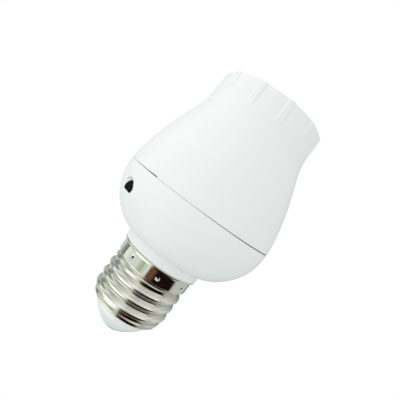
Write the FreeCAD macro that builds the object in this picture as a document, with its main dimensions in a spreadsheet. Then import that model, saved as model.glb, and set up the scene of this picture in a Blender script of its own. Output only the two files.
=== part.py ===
import FreeCAD, Part
import math
import os
import Sketcher
from FreeCAD import Placement, Rotation, Vector

# Light-sensing lamp holder: a screw cap below, a pear-shaped housing in two halves, a screw socket above.
# Millimetres. Z = 0 is where the metal cap meets the housing, +Z runs to the mouth, the sensor faces -Y.

doc = FreeCAD.newDocument("lamp_holder")
sheet = doc.addObject("Spreadsheet::Sheet", "Sizes")

sizes = {
    # Edison screw, shared by the cap and the socket
    "ScrewCrestRadius": 13.15,
    "ScrewRootRadius": 12.1,
    "ScrewPitch": 3.629,
    "ScrewPhase": -8.83,
    "ScrewPlay": 0.15,
    "SheetThickness": 0.35,
    "RunOut": 2.0,
    # Cap shell
    "CapLipRadius": 13.72,
    "CapLipDepth": 0.5,
    "CapLipBevel": 0.15,
    "CapCollarRadius": 13.0,
    "CapCollarEnd": -4.9,
    "CapThreadTop": -5.85,
    "CapThreadEnd": -19.45,
    "CapEndDepth": 0.5,
    "CapEndHoleRadius": 10.9,
    "DimpleCount": 8,
    "DimpleTurn": 17.4,
    "DimpleHeight": -2.6,
    "DimpleBallRadius": 0.9,
    "DimpleDepth": 0.22,
    # Cap insulator and centre contact
    "CapFit": 0.1,
    "InsulatorWall": 1.9,
    "InsulatorFlangeDepth": 1.25,
    "ConeTipRadius": 5.4,
    "ConeTipHeight": -26.8,
    "ConeShoulder": 2.57,
    "CapContactRadius": 4.9,
    "CapContactRim": 0.3,
    "CapContactDome": 1.8,
    "RivetStemRadius": 1.6,
    "RivetHeadRadius": 2.8,
    "RivetHeadDepth": 0.5,
    "RivetHeadFit": 0.5,
    # Housing outline
    "HousingWall": 2.0,
    "RingRadius": 13.9,
    "RingHeight": 3.5,
    "DomeFootRadius": 17.5,
    "DomeFootHeight": 2.8,
    "DomeShoulderRadius": 26.4,
    "DomeShoulderHeight": 11.3,
    "BellyRadius": 26.58,
    "BellyEase": 3.0,
    "BellFootEase": 1.8,
    "SeamHeight": 21.4,
    "SeamGap": 0.25,
    "BellRadius": 24.9,
    "BellHeight": 33.0,
    "NeckFootRadius": 20.0,
    "NeckFootHeight": 45.9,
    "NeckRadius": 18.25,
    "NeckHeight": 50.8,
    "RimRadius": 18.06,
    "RimHeight": 60.06,
    "RimEase": 2.7,
    "RimSpread": 0.2,
    "RimRound": 0.5,
    # Spigot and the joint between the halves
    "SpigotDepth": 4.7,
    "SpigotBoreRadius": 9.5,
    "TongueHeight": 2.0,
    "TongueThickness": 0.9,
    "TongueFit": 0.12,
    "SnapRise": 1.2,
    "SnapHeight": 0.25,
    "SnapWidth": 0.6,
    # Neck, mouth and ribs
    "MouthRadius": 15.6,
    "SleeveWall": 1.5,
    "SleeveFoot": 33.0,
    "SleeveMeetHeight": 47.6,
    "RibCount": 12,
    "RibWidth": 2.4,
    "RibRadius": 18.55,
    "RibFoot": 49.5,
    "SocketBossInset": 2.6,
    "SocketBossRadius": 2.3,
    "SocketBossHeight": 6.3,
    "SocketBossTurn": 90.0,
    "BossCount": 3,
    # Sensor window
    "WindowHeight": 14.2,
    "WindowRadius": 2.9,
    "WindowFlat": 1.2,
    "WindowFit": 0.12,
    "LensSink": 0.58,
    "LensBossLength": 0.28,
    "LensFlangeRadius": 3.6,
    "LensFlangeDepth": 1.0,
    "LensBossRadius": 3.9,
    "SensorRadius": 2.5,
    "SensorDepth": 2.0,
    "SensorGap": 0.2,
    "SensorLegPitch": 2.54,
    "SensorLegInset": 1.6,
    "ElbowRadius": 0.24,
    # Circuit board and its screws
    "BoardClearance": 0.79,
    "BoardThickness": 1.6,
    "BoardFloor": 8.0,
    "BoardBossFoot": 5.3,
    "BoardBossRadius": 2.6,
    "BoardBossInset": 2.6,
    "BoardBossTurn": -15.0,
    "ScrewShankRadius": 1.05,
    "ScrewHeadRadius": 1.95,
    "ScrewHeadDepth": 1.4,
    "PilotFit": 0.05,
    "PilotSpare": 0.2,
    "BoardScrewLength": 4.6,
    "BoardHoleFit": 0.2,
    "SocketScrewLength": 7.0,
    # Legs of the parts on the board
    "LegRadius": 0.3,
    "LegHoleRadius": 0.45,
    "LegReach": 1.2,
    "PartLift": 0.4,
    # Parts on the board: length along X, width along Y, height, centre
    "FilmLength": 18.0,
    "FilmWidth": 8.0,
    "FilmHeight": 13.5,
    "FilmX": -0.8,
    "FilmInset": 9.6,
    "FilmPitch": 15.0,
    "CanRadius": 5.0,
    "CanHeight": 13.0,
    "CanX": -11.2,
    "CanY": -1.6,
    "CanPitch": 5.0,
    "ThyristorThickness": 4.6,
    "ThyristorWidth": 10.0,
    "ThyristorHeight": 9.2,
    "ThyristorStand": 3.0,
    "ThyristorTabThickness": 1.3,
    "ThyristorTabHeight": 6.2,
    "ThyristorHoleRadius": 1.8,
    "ThyristorX": 11.0,
    "ThyristorY": 1.8,
    "ThyristorPitch": 2.54,
    "BridgeLength": 8.5,
    "BridgeWidth": 6.5,
    "BridgeHeight": 3.3,
    "BridgeX": 8.0,
    "BridgeInset": 9.1,
    "BridgePitchX": 5.1,
    "BridgePitchY": 7.6,
    "ChipLength": 9.4,
    "ChipWidth": 6.4,
    "ChipHeight": 3.3,
    "ChipX": -0.5,
    "ChipY": -1.5,
    "ChipPitchX": 2.54,
    "ChipPitchY": 7.62,
    "ResistorRadius": 1.2,
    "ResistorLength": 6.0,
    "ResistorPitch": 7.62,
    "ResistorInset": 14.6,
    "ResistorY": -7.5,
    "ResistorStep": 2.8,
    "VaristorRadius": 3.0,
    "VaristorThickness": 3.0,
    "VaristorX": -13.0,
    "VaristorY": 7.9,
    "VaristorPitch": 3.4,
    # Socket base
    "BaseFlangeClearance": 0.17,
    "BaseFlangeThickness": 2.5,
    "BasePlugFit": 0.2,
    "BasePlugHeight": 2.0,
    # Socket screw shell
    "ShellFloorHoleRadius": 9.5,
    "ShellFloorWall": 1.2,
    "ShellTop": 53.0,
    "ShellLipWidth": 0.8,
    "RivetCircle": 11.3,
    "ShellRivetRadius": 1.0,
    "ShellRivetHeadRadius": 1.6,
    "ShellRivetHeadDepth": 0.6,
    "RivetFit": 0.05,
    # Sprung centre contact
    "LeafThickness": 0.4,
    "LeafWidth": 4.4,
    "LeafFootStart": -8.9,
    "LeafRivetX": -7.0,
    "LeafBendX": -4.9,
    "LeafPadStart": -2.0,
    "LeafPadEnd": 2.2,
    "LeafRise": 2.6,
    "ButtonRadius": 2.0,
    "ButtonHeight": 1.2,
    "ButtonStemRadius": 0.8,
    "ButtonStemFit": 0.08,
    "ButtonHeadRadius": 1.3,
    "ButtonHeadDepth": 0.4,
    # Solder tags and wires
    "TagThickness": 0.5,
    "TagWidth": 3.6,
    "TagLength": 7.2,
    "WireRadius": 0.75,
    "CapWireX": 10.9,
    "CapWireFoot": -13.0,
    "CapWireRun": 2.8,
}
notes = {
    "ScrewCrestRadius": "outside radius of the screw",
    "ScrewPhase": "height of a crest at +X",
    "ScrewPlay": "radial play between a lamp's cap and the socket",
    "RunOut": "length over which the screw rises from the plain ends",
    "CapCollarEnd": "heights below the lip are negative",
    "SeamHeight": "parting line of the housing",
    "LensSink": "depth of the lens face below the wall around it",
    "LensBossLength": "length of the lens boss at its foot, where the wall is nearest",
    "BoardBossInset": "centre of a screw, from the edge of the board",
    "SocketBossInset": "centre of a screw, from the edge of the socket base",
}

for row, (name, number) in enumerate(sizes.items(), start=1):
    sheet.set("A%d" % row, name)
    sheet.set("B%d" % row, str(number))
    sheet.set("C%d" % row, notes.get(name, ""))
    sheet.setAlias("B%d" % row, name)
doc.recompute()


class Size:
    """A length or angle: its number, and the words that tie it to the sheet."""

    def __init__(self, words, number):
        self.words = words
        self.number = float(number)

    def __add__(self, other):
        other = asSize(other)
        return Size("(%s + %s)" % (self.words, other.words), self.number + other.number)

    def __sub__(self, other):
        other = asSize(other)
        return Size("(%s - %s)" % (self.words, other.words), self.number - other.number)

    def __mul__(self, other):
        other = asSize(other)
        return Size("(%s * %s)" % (self.words, other.words), self.number * other.number)

    def __truediv__(self, other):
        other = asSize(other)
        return Size("(%s / %s)" % (self.words, other.words), self.number / other.number)

    def __neg__(self):
        return Size("(0 - %s)" % self.words, -self.number)


def asSize(value):
    return value if isinstance(value, Size) else Size(repr(float(value)), value)


def size(name):
    return Size("Sizes." + name, sheet.get(name))


def cosine(angle):
    angle = asSize(angle)
    return Size("cos(%s)" % angle.words, math.cos(math.radians(angle.number)))


def sine(angle):
    angle = asSize(angle)
    return Size("sin(%s)" % angle.words, math.sin(math.radians(angle.number)))


def bind(item, **properties):
    for name, value in properties.items():
        item.setExpression(name.replace("_", "."), asSize(value).words)


# Sketches, whose points are tied to the sheet

def newBody(label):
    body = doc.addObject("PartDesign::Body", label)
    body.Label = label
    return body


def newSketch(body, plane, label, lift=0.0, turn=0.0):
    sketch = body.newObject("Sketcher::SketchObject", label)
    support = [item for item in body.Origin.OriginFeatures if item.Role == plane][0]
    sketch.AttachmentSupport = [(support, "")]
    sketch.MapMode = "FlatFace"
    lift = asSize(lift)
    turn = asSize(turn)
    sketch.AttachmentOffset = Placement(Vector(0, 0, lift.number), Rotation(Vector(0, 0, 1), turn.number))
    sketch.setExpression("AttachmentOffset.Base.z", lift.words)
    sketch.setExpression("AttachmentOffset.Rotation.Angle", turn.words)
    return sketch


def tie(sketch, kind, where, value):
    """A dimension of the sketch, tied to the sheet."""
    value = asSize(value)
    index = sketch.addConstraint(Sketcher.Constraint(kind, *where, value.number))
    sketch.setExpression("Constraints[%d]" % index, value.words)


def pin(sketch, line, end, point):
    """Both coordinates of a point, tied to the sheet, or the axis that it lies on."""
    for kind, axis, value in (("DistanceX", -2, point[0]), ("DistanceY", -1, point[1])):
        value = asSize(value)
        if value.words == "0.0":
            sketch.addConstraint(Sketcher.Constraint("PointOnObject", line, end, axis))
        else:
            tie(sketch, kind, (-1, 1, line, end), value)


def flat(point):
    return Vector(asSize(point[0]).number, asSize(point[1]).number, 0)


def smoothCurve(points):
    """The curve of the third degree that its control points draw."""
    degree = 3
    spans = len(points) - degree
    knots = [step / spans for step in range(spans + 1)]
    multiplicities = [degree + 1] + [1] * (spans - 1) + [degree + 1]
    curve = Part.BSplineCurve()
    curve.buildFromPolesMultsKnots(points, multiplicities, knots, False, degree)
    return curve


def radiusAt(poles, height):
    """Radius of a curved wall at a height: the mix of its control points there."""
    curve = smoothCurve([flat(pole) for pole in poles])
    rising = flat(poles[-1]).y > flat(poles[0]).y
    low, high = 0.0, 1.0
    while high - low > 1e-9:
        share = (low + high) / 2
        if (curve.value(share).y < height.number) == rising:
            low = share
        else:
            high = share
    radius = Size("0.0", 0)
    for index, pole in enumerate(poles):
        unit = [Vector(1.0 if place == index else 0.0, place, 0) for place in range(len(poles))]
        radius = radius + pole[0] * round(smoothCurve(unit).value(low).x, 6)
    return radius


def addCurve(sketch, poles):
    """A smooth curve drawn by its control points."""
    line = sketch.addGeometry(smoothCurve([flat(pole) for pole in poles]), False)
    first = None
    for index, pole in enumerate(poles):
        knob = sketch.addGeometry(Part.Circle(flat(pole), Vector(0, 0, 1), 1.0), True)
        role = "InternalAlignment:Sketcher::BSplineControlPoint"
        sketch.addConstraint(Sketcher.Constraint(role, knob, 3, line, index))
        pin(sketch, knob, 3, pole)
        if first is None:
            first = knob
            sketch.addConstraint(Sketcher.Constraint("Weight", knob, 1.0))
        else:
            sketch.addConstraint(Sketcher.Constraint("Equal", first, knob))
    return line


def addArc(sketch, start, end, radius):
    """An arc that turns to the left for a positive radius, to the right for a negative one."""
    a = flat(start)
    b = flat(end)
    reach = asSize(radius)
    half = (b - a) * 0.5
    rise = math.sqrt(max(reach.number ** 2 - half.Length ** 2, 0.0))
    left = Vector(-half.y, half.x, 0).normalize()
    centre = a + half + left * (rise if reach.number > 0 else -rise)
    first, last = (a, b) if reach.number > 0 else (b, a)
    circle = Part.Circle(centre, Vector(0, 0, 1), abs(reach.number))
    angles = [math.atan2(point.y - centre.y, point.x - centre.x) for point in (first, last)]
    line = sketch.addGeometry(Part.ArcOfCircle(circle, angles[0], angles[1]), False)
    tie(sketch, "Radius", (line,), reach if reach.number > 0 else -reach)
    return line, (1, 2) if reach.number > 0 else (2, 1)


def drawOutline(sketch, start, steps):
    """A closed outline: each step is a point, a curve through control points, or an arc."""
    pieces = []
    here = start
    for step in steps:
        if isinstance(step, dict) and "curve" in step:
            line = addCurve(sketch, [here] + step["curve"])
            here = step["curve"][-1]
            pieces.append((line, 1, 2, True, here))
        elif isinstance(step, dict):
            line, ends = addArc(sketch, here, step["arc"], step["radius"])
            here = step["arc"]
            pieces.append((line, ends[0], ends[1], False, here))
        else:
            line = sketch.addGeometry(Part.LineSegment(flat(here), flat(step)), False)
            here = step
            pieces.append((line, 1, 2, False, here))
    for index, (line, _, end, curved, point) in enumerate(pieces):
        following = pieces[(index + 1) % len(pieces)]
        sketch.addConstraint(Sketcher.Constraint("Coincident", line, end, following[0], following[1]))
        if not curved and not following[3]:
            pin(sketch, line, end, point)
    return sketch


def drawCircle(sketch, centre, radius):
    radius = asSize(radius)
    line = sketch.addGeometry(Part.Circle(flat(centre), Vector(0, 0, 1), radius.number), False)
    pin(sketch, line, 3, centre)
    tie(sketch, "Radius", (line,), radius)
    return sketch


# Solid features of a body

def revolve(body, label, start, steps, cut=False):
    sketch = drawOutline(newSketch(body, "XZ_Plane", label + "_outline"), start, steps)
    feature = body.newObject("PartDesign::Groove" if cut else "PartDesign::Revolution", label)
    feature.Profile = sketch
    feature.ReferenceAxis = (sketch, ["V_Axis"])
    feature.Angle = 360
    return feature


def extrude(body, label, sketch, length, kind="Pad", midplane=False, reverse=False):
    feature = body.newObject("PartDesign::" + kind, label)
    feature.Profile = sketch
    bind(feature, Length=length)
    feature.Length = asSize(length).number
    feature.Reversed = reverse
    if midplane:
        feature.SideType = "Symmetric"
    return feature


def repeatAround(body, label, features, count):
    pattern = body.newObject("PartDesign::PolarPattern", label)
    pattern.Originals = features
    axis = [item for item in body.Origin.OriginFeatures if item.Role == "Z_Axis"][0]
    pattern.Axis = (axis, [""])
    pattern.Angle = 360
    pattern.Occurrences = int(asSize(count).number)
    bind(pattern, Occurrences=count)
    body.Tip = pattern
    return pattern


# Plain solids, placed by their centre and foot

def place(item, x, y, z):
    item.Placement.Base = Vector(asSize(x).number, asSize(y).number, asSize(z).number)
    bind(item, Placement_Base_x=x, Placement_Base_y=y, Placement_Base_z=z)


def block(label, length, width, height, x, y, z):
    item = doc.addObject("Part::Box", label)
    bind(item, Length=length, Width=width, Height=height)
    place(item, asSize(x) - asSize(length) / 2, asSize(y) - asSize(width) / 2, z)
    return item


def post(label, radius, height, x, y, z):
    item = doc.addObject("Part::Cylinder", label)
    bind(item, Radius=radius, Height=height)
    place(item, x, y, z)
    return item


def barAlongX(label, radius, length, x, y, z):
    item = post(label, radius, length, asSize(x) - asSize(length) / 2, y, z)
    item.Placement.Rotation = Rotation(Vector(0, 1, 0), 90)
    return item


def barAlongY(label, radius, length, x, y, z):
    item = post(label, radius, length, x, asSize(y) + asSize(length) / 2, z)
    item.Placement.Rotation = Rotation(Vector(1, 0, 0), 90)
    return item


def join(label, items):
    item = doc.addObject("Part::MultiFuse", label)
    item.Shapes = items
    item.Refine = True
    return item


def group(label, items):
    item = doc.addObject("Part::Compound", label)
    item.Links = items
    return item


def subtract(label, base, tools):
    item = doc.addObject("Part::Cut", label)
    item.Base = base
    item.Tool = tools[0] if len(tools) == 1 else group(label + "_tools", tools)
    return item


def shaped(label, shape):
    item = doc.addObject("Part::Feature", label)
    item.Shape = shape
    item.Placement = Placement()
    return item


subParts = {}


def keep(label, item):
    item.Label = label
    subParts[label] = item
    return item


# Rolled screw sleeve: both faces of the sheet follow the screw and end in plain rings.

def screwRise(phase):
    """Height of the rolled section, from 0 at the root to 1 at the crest, in two round arcs."""
    offset = abs(phase - round(phase))
    flank = math.radians(62.0)
    quarter = 0.25
    reach = quarter / math.sin(flank)
    depth = 2 * reach * (1 - math.cos(flank))
    if offset <= quarter:
        fall = reach - math.sqrt(reach ** 2 - offset ** 2)
        return 1 - fall / depth
    climb = reach - math.sqrt(reach ** 2 - (2 * quarter - offset) ** 2)
    return climb / depth


def ease(step):
    step = min(max(step, 0.0), 1.0)
    return step * step * (3 - 2 * step)


def rolledSleeve(root, crest, bottom, top, plainEnd):
    """Solid sleeve whose outer face runs between the root and crest radii."""
    pitch = sheet.get("ScrewPitch")
    thickness = sheet.get("SheetThickness")
    runOut = sheet.get("RunOut")
    start = sheet.get("ScrewPhase")
    rowsPerPitch = 14
    rows = int((top - bottom) / pitch * rowsPerPitch)
    columns = 48

    def radius(height, turn):
        phase = (height - start) / pitch - turn
        blend = ease((height - bottom) / runOut) * ease((top - height) / runOut)
        rise = plainEnd + (screwRise(phase) - plainEnd) * blend
        return root + (crest - root) * rise

    def wall(inset):
        grid = []
        for row in range(rows + 1):
            height = bottom + (top - bottom) * row / rows
            line = []
            for column in range(columns + 1):
                turn = (column % columns) / columns
                reach = radius(height, turn) - inset
                angle = 2 * math.pi * turn
                line.append(Vector(reach * math.cos(angle), reach * math.sin(angle), height))
            grid.append(line)
        surface = Part.BSplineSurface()
        surface.interpolate(grid)
        for row in range(1, surface.NbUPoles + 1):
            surface.setPole(row, surface.NbVPoles, surface.getPole(row, 1))
        return surface.toShape()

    faces = [wall(0.0), wall(thickness)]
    for height in (bottom, top):
        rings = []
        for face in faces[:2]:
            rings.append(Part.Wire([edge for edge in face.Edges
                                    if abs(edge.BoundBox.Center.z - height) < thickness / 10]))
        faces.append(Part.Face(rings, "Part::FaceMakerBullseye"))
    shell = Part.Shell(faces)
    shell.sewShape()
    solid = Part.Solid(shell)
    if solid.Volume < 0:
        solid.reverse()
    return solid


# Cap: lip, collar and curled end are turned, the screw between them is rolled, the collar is staked.

sheetThickness = size("SheetThickness")
collarInside = size("CapCollarRadius") - sheetThickness
rootInside = size("ScrewRootRadius") - sheetThickness
threadStep = sheetThickness / 2

capCollar = newBody("cap_collar")
revolve(
    capCollar, "collar",
    (collarInside, 0),
    [
        (size("CapLipRadius") - size("CapLipBevel"), 0),
        (size("CapLipRadius"), -size("CapLipBevel")),
        (size("CapLipRadius"), size("CapLipBevel") - size("CapLipDepth")),
        (size("CapLipRadius") - size("CapLipBevel"), -size("CapLipDepth")),
        (size("CapCollarRadius"), -size("CapLipDepth") * 2),
        (size("CapCollarRadius"), size("CapCollarEnd")),
        {"arc": (size("ScrewRootRadius") + threadStep, size("CapThreadTop")),
         "radius": size("CapThreadTop") - size("CapCollarEnd") - threadStep / 4},
        (rootInside - threadStep, size("CapThreadTop")),
        (rootInside - threadStep, size("CapThreadTop") + sheetThickness),
        (collarInside, size("CapCollarEnd") + sheetThickness / 2),
        (collarInside, 0),
    ],
)
capEnd = newBody("cap_end")
capEndFloor = size("CapThreadEnd") - size("CapEndDepth")
revolve(
    capEnd, "end",
    (size("CapEndHoleRadius"), size("CapThreadEnd")),
    [
        (size("CapEndHoleRadius"), capEndFloor),
        (size("ScrewRootRadius") - sheetThickness, capEndFloor),
        (size("ScrewRootRadius") + threadStep, size("CapThreadEnd") - threadStep),
        (size("ScrewRootRadius") + threadStep, size("CapThreadEnd")),
        (size("CapEndHoleRadius"), size("CapThreadEnd")),
    ],
)
capSleeve = shaped("cap_sleeve", rolledSleeve(
    sheet.get("ScrewRootRadius"), sheet.get("ScrewCrestRadius"),
    sheet.get("CapThreadEnd") - sheet.get("CapEndDepth") / 2,
    sheet.get("CapThreadTop") + sheet.get("SheetThickness") / 2, 0.0))
capBlank = join("cap_blank", [capCollar, capSleeve, capEnd])
dimples = []
for index in range(int(size("DimpleCount").number)):
    turn = size("DimpleTurn") + Size("360.0", 360) / size("DimpleCount") * index
    reach = size("CapCollarRadius") + size("DimpleBallRadius") - size("DimpleDepth")
    dimple = doc.addObject("Part::Sphere", "dimple_%d" % index)
    bind(dimple, Radius=size("DimpleBallRadius"))
    place(dimple, reach * cosine(turn), reach * sine(turn), size("DimpleHeight"))
    dimples.append(dimple)
keep("cap_shell", subtract("cap_shell", capBlank, dimples))

# Cap insulator: a flange held by the curled end, and a hollow cone that carries the centre contact.

neckRadius = size("CapEndHoleRadius") - size("CapFit")
coneFloor = size("ConeTipHeight") + size("InsulatorWall")
stemHole = size("RivetStemRadius") + size("RivetFit")
flangeTop = size("CapThreadEnd") + size("InsulatorFlangeDepth")
insulator = newBody("cap_insulator")
revolve(
    insulator, "insulator",
    (stemHole, size("ConeTipHeight")),
    [
        (size("ConeTipRadius"), size("ConeTipHeight")),
        {"curve": [
            (size("ConeTipRadius") + size("ConeShoulder"), coneFloor + size("CapEndDepth")),
            (neckRadius, capEndFloor - size("InsulatorWall")),
            (neckRadius, capEndFloor),
        ]},
        (neckRadius, size("CapThreadEnd")),
        (rootInside - size("CapFit") * 2, size("CapThreadEnd")),
        (rootInside - size("CapFit") * 2, flangeTop),
        (neckRadius - size("InsulatorWall"), flangeTop),
        (size("RivetHeadRadius") + size("RivetHeadFit"), coneFloor),
        (stemHole, coneFloor),
        (stemHole, size("ConeTipHeight")),
    ],
)
keep("cap_insulator", insulator)

capContact = newBody("cap_contact")
contactRim = size("ConeTipHeight") - size("CapContactRim")
domeRadius = (size("CapContactRadius") * size("CapContactRadius")
              + size("CapContactDome") * size("CapContactDome")) / (size("CapContactDome") * 2)
revolve(
    capContact, "contact",
    (0, contactRim - size("CapContactDome")),
    [
        {"arc": (size("CapContactRadius"), contactRim), "radius": domeRadius},
        (size("CapContactRadius"), size("ConeTipHeight")),
        (size("RivetStemRadius"), size("ConeTipHeight")),
        (size("RivetStemRadius"), coneFloor),
        (size("RivetHeadRadius"), coneFloor),
        (size("RivetHeadRadius"), coneFloor + size("RivetHeadDepth")),
        (0, coneFloor + size("RivetHeadDepth")),
        (0, contactRim - size("CapContactDome")),
    ],
)
keep("cap_contact", capContact)

# Lower housing: spigot in the cap, ring, dome, tongue and snap bead, board bosses and lens seat.

wallThickness = size("HousingWall")
bellyInside = size("BellyRadius") - wallThickness
tongueTop = size("SeamHeight") + size("TongueHeight")
tongueOutside = bellyInside + size("TongueThickness")
snapMiddle = size("SeamHeight") + size("SnapRise")
spigotRadius = collarInside - size("CapFit")


def inward(radius, height, across, along):
    """The inner wall's control point beside an outer one, by shares of the wall across and along the axis."""
    return (size(radius) - wallThickness * across, size(height) + wallThickness * along)


domeOutside = [
    (size("RingRadius"), size("RingHeight")),
    (size("DomeFootRadius"), size("DomeFootHeight")),
    (size("DomeShoulderRadius"), size("DomeShoulderHeight")),
    (size("BellyRadius"), size("SeamHeight") - size("BellyEase")),
    (size("BellyRadius"), size("SeamHeight")),
]
domeInside = [
    (bellyInside, size("SeamHeight")),
    (bellyInside, size("SeamHeight") - size("BellyEase")),
    inward("DomeShoulderRadius", "DomeShoulderHeight", 1.0, 0.35),
    inward("DomeFootRadius", "DomeFootHeight", 0.4, 1.1),
    inward("RingRadius", "RingHeight", 0.2, 1.0),
]
lensFace = radiusAt(domeOutside, size("WindowHeight")) - size("LensSink")
lensSeat = radiusAt(domeInside, size("WindowHeight") - size("LensBossRadius")) - size("LensBossLength")
boardRadius = radiusAt(domeInside, size("BoardFloor")) - size("BoardClearance")
boardScrewCircle = boardRadius - size("BoardBossInset")

lower = newBody("lower_shell")
revolve(
    lower, "lower_wall",
    (size("RingRadius"), 0),
    [
        domeOutside[0],
        {"curve": domeOutside[1:]},
        (tongueOutside, size("SeamHeight")),
        (tongueOutside, snapMiddle - size("SnapWidth") / 2),
        (tongueOutside + size("SnapHeight"), snapMiddle),
        (tongueOutside, snapMiddle + size("SnapWidth") / 2),
        (tongueOutside, tongueTop),
        (bellyInside, tongueTop),
        domeInside[0],
        {"curve": domeInside[1:]},
        (size("SpigotBoreRadius"), size("RingHeight") + wallThickness),
        (size("SpigotBoreRadius"), -size("SpigotDepth")),
        (spigotRadius, -size("SpigotDepth")),
        (spigotRadius, 0),
        (size("RingRadius"), 0),
    ],
)
boardBoss = drawCircle(
    newSketch(lower, "XY_Plane", "board_boss_circle", size("BoardBossFoot"), size("BoardBossTurn")),
    (boardScrewCircle, 0), size("BoardBossRadius"))
boardBossPad = extrude(lower, "board_boss", boardBoss, size("BoardFloor") - size("BoardBossFoot"))
repeatAround(lower, "board_bosses", [boardBossPad], size("BossCount"))
pilotRadius = size("ScrewShankRadius") + size("PilotFit")
boardPilot = drawCircle(
    newSketch(lower, "XY_Plane", "board_pilot_circle", size("BoardFloor"), size("BoardBossTurn")),
    (boardScrewCircle, 0), pilotRadius)
boardPilotDepth = size("BoardScrewLength") - size("BoardThickness") + size("PilotSpare")
boardPilotCut = extrude(lower, "board_pilot", boardPilot, boardPilotDepth, "Pocket")
repeatAround(lower, "board_pilots", [boardPilotCut], size("BossCount"))
doc.recompute()
lensBoss = drawCircle(
    newSketch(lower, "XZ_Plane", "lens_boss_circle", lensSeat),
    (0, size("WindowHeight")), size("LensBossRadius"))
lensBossPad = extrude(lower, "lens_boss", lensBoss, wallThickness)
lensBossPad.Type = "UpToFirst"


def drawWindow(sketch, radius, flatDrop):
    """A circle cut off by a flat below its centre."""
    half = Size("sqrt(%s)" % (radius * radius - flatDrop * flatDrop).words,
                math.sqrt(radius.number ** 2 - flatDrop.number ** 2))
    low = size("WindowHeight") - flatDrop
    centre = size("WindowHeight").number
    circle = Part.Circle(Vector(0, centre, 0), Vector(0, 0, 1), radius.number)
    angle = math.asin(flatDrop.number / radius.number)
    arc = sketch.addGeometry(Part.ArcOfCircle(circle, -angle, math.pi + angle), False)
    line = sketch.addGeometry(Part.LineSegment(Vector(-half.number, low.number, 0),
                                               Vector(half.number, low.number, 0)), False)
    sketch.addConstraint(Sketcher.Constraint("Coincident", arc, 2, line, 1))
    sketch.addConstraint(Sketcher.Constraint("Coincident", arc, 1, line, 2))
    pin(sketch, arc, 3, (0, size("WindowHeight")))
    tie(sketch, "Radius", (arc,), radius)
    tie(sketch, "DistanceY", (-1, 1, line, 1), low)
    sketch.addConstraint(Sketcher.Constraint("Horizontal", line))
    return sketch


windowSketch = drawWindow(newSketch(lower, "XZ_Plane", "window_outline"),
                          size("WindowRadius"), size("WindowFlat"))
extrude(lower, "window", windowSketch, lensFace + wallThickness, "Pocket", reverse=True)
keep("lower_shell", lower)

# Upper housing: bell, neck, mouth and inner sleeve in one wall, ribs, bosses for the socket base.

bellFoot = size("SeamHeight") + size("SeamGap")
rebate = tongueOutside + size("TongueFit")
sleeveOutside = size("MouthRadius") + size("SleeveWall")
rimTop = size("RimHeight")
bellOutside = [
    (size("BellyRadius"), bellFoot),
    (size("BellyRadius"), bellFoot + size("BellFootEase")),
    (size("BellRadius"), size("BellHeight")),
    (size("NeckFootRadius"), size("NeckFootHeight")),
    (size("NeckRadius"), size("NeckHeight")),
    (size("RimRadius") + size("RimSpread"), rimTop - size("RimEase")),
    (size("RimRadius"), rimTop - size("RimRound")),
]
bellInside = [
    (sleeveOutside, size("SleeveMeetHeight")),
    inward("NeckFootRadius", "NeckFootHeight", 1.0, -0.5),
    inward("BellRadius", "BellHeight", 1.0, -0.2),
    (bellyInside, tongueTop + size("BellFootEase")),
    (bellyInside, tongueTop),
]
baseRadius = radiusAt(bellInside, size("SleeveFoot")) - size("BaseFlangeClearance")
socketScrewCircle = baseRadius - size("SocketBossInset")

upper = newBody("upper_shell")
revolve(
    upper, "upper_wall",
    bellOutside[0],
    [
        {"curve": bellOutside[1:]},
        {"arc": (size("RimRadius") - size("RimRound"), rimTop), "radius": size("RimRound")},
        (size("MouthRadius") + size("RimRound"), rimTop),
        {"arc": (size("MouthRadius"), rimTop - size("RimRound")), "radius": size("RimRound")},
        (size("MouthRadius"), size("SleeveFoot")),
        (sleeveOutside, size("SleeveFoot")),
        bellInside[0],
        {"curve": bellInside[1:]},
        (rebate, tongueTop),
        (rebate, snapMiddle + size("SnapWidth") / 2),
        (rebate + size("SnapHeight"), snapMiddle),
        (rebate, snapMiddle - size("SnapWidth") / 2),
        (rebate, bellFoot),
        (size("BellyRadius"), bellFoot),
    ],
)
ribSketch = drawOutline(
    newSketch(upper, "XZ_Plane", "rib_outline"),
    (size("RimRadius") - size("SleeveWall"), size("RibFoot")),
    [
        (size("RibRadius"), size("RibFoot")),
        (size("RibRadius"), rimTop - size("RimRound")),
        {"arc": (size("RibRadius") - size("RimRound"), rimTop), "radius": size("RimRound")},
        (size("RimRadius") - size("SleeveWall"), rimTop),
        (size("RimRadius") - size("SleeveWall"), size("RibFoot")),
    ])
ribPad = extrude(upper, "rib", ribSketch, size("RibWidth"), midplane=True)
repeatAround(upper, "ribs", [ribPad], size("RibCount"))
socketBoss = drawCircle(
    newSketch(upper, "XY_Plane", "socket_boss_circle", size("SleeveFoot"), size("SocketBossTurn")),
    (socketScrewCircle, 0), size("SocketBossRadius"))
socketBossPad = extrude(upper, "socket_boss", socketBoss, size("SocketBossHeight"))
repeatAround(upper, "socket_bosses", [socketBossPad], size("BossCount"))
socketPilot = drawCircle(
    newSketch(upper, "XY_Plane", "socket_pilot_circle", size("SleeveFoot"), size("SocketBossTurn")),
    (socketScrewCircle, 0), pilotRadius)
socketPilotDepth = size("SocketScrewLength") - size("BaseFlangeThickness") + size("PilotSpare")
socketPilotCut = extrude(upper, "socket_pilot", socketPilot, socketPilotDepth, "Pocket", reverse=True)
repeatAround(upper, "socket_pilots", [socketPilotCut], size("BossCount"))
keep("upper_shell", upper)

# Lens: a D-shaped light pipe with a round flange on its seat inside the lower housing.

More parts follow.
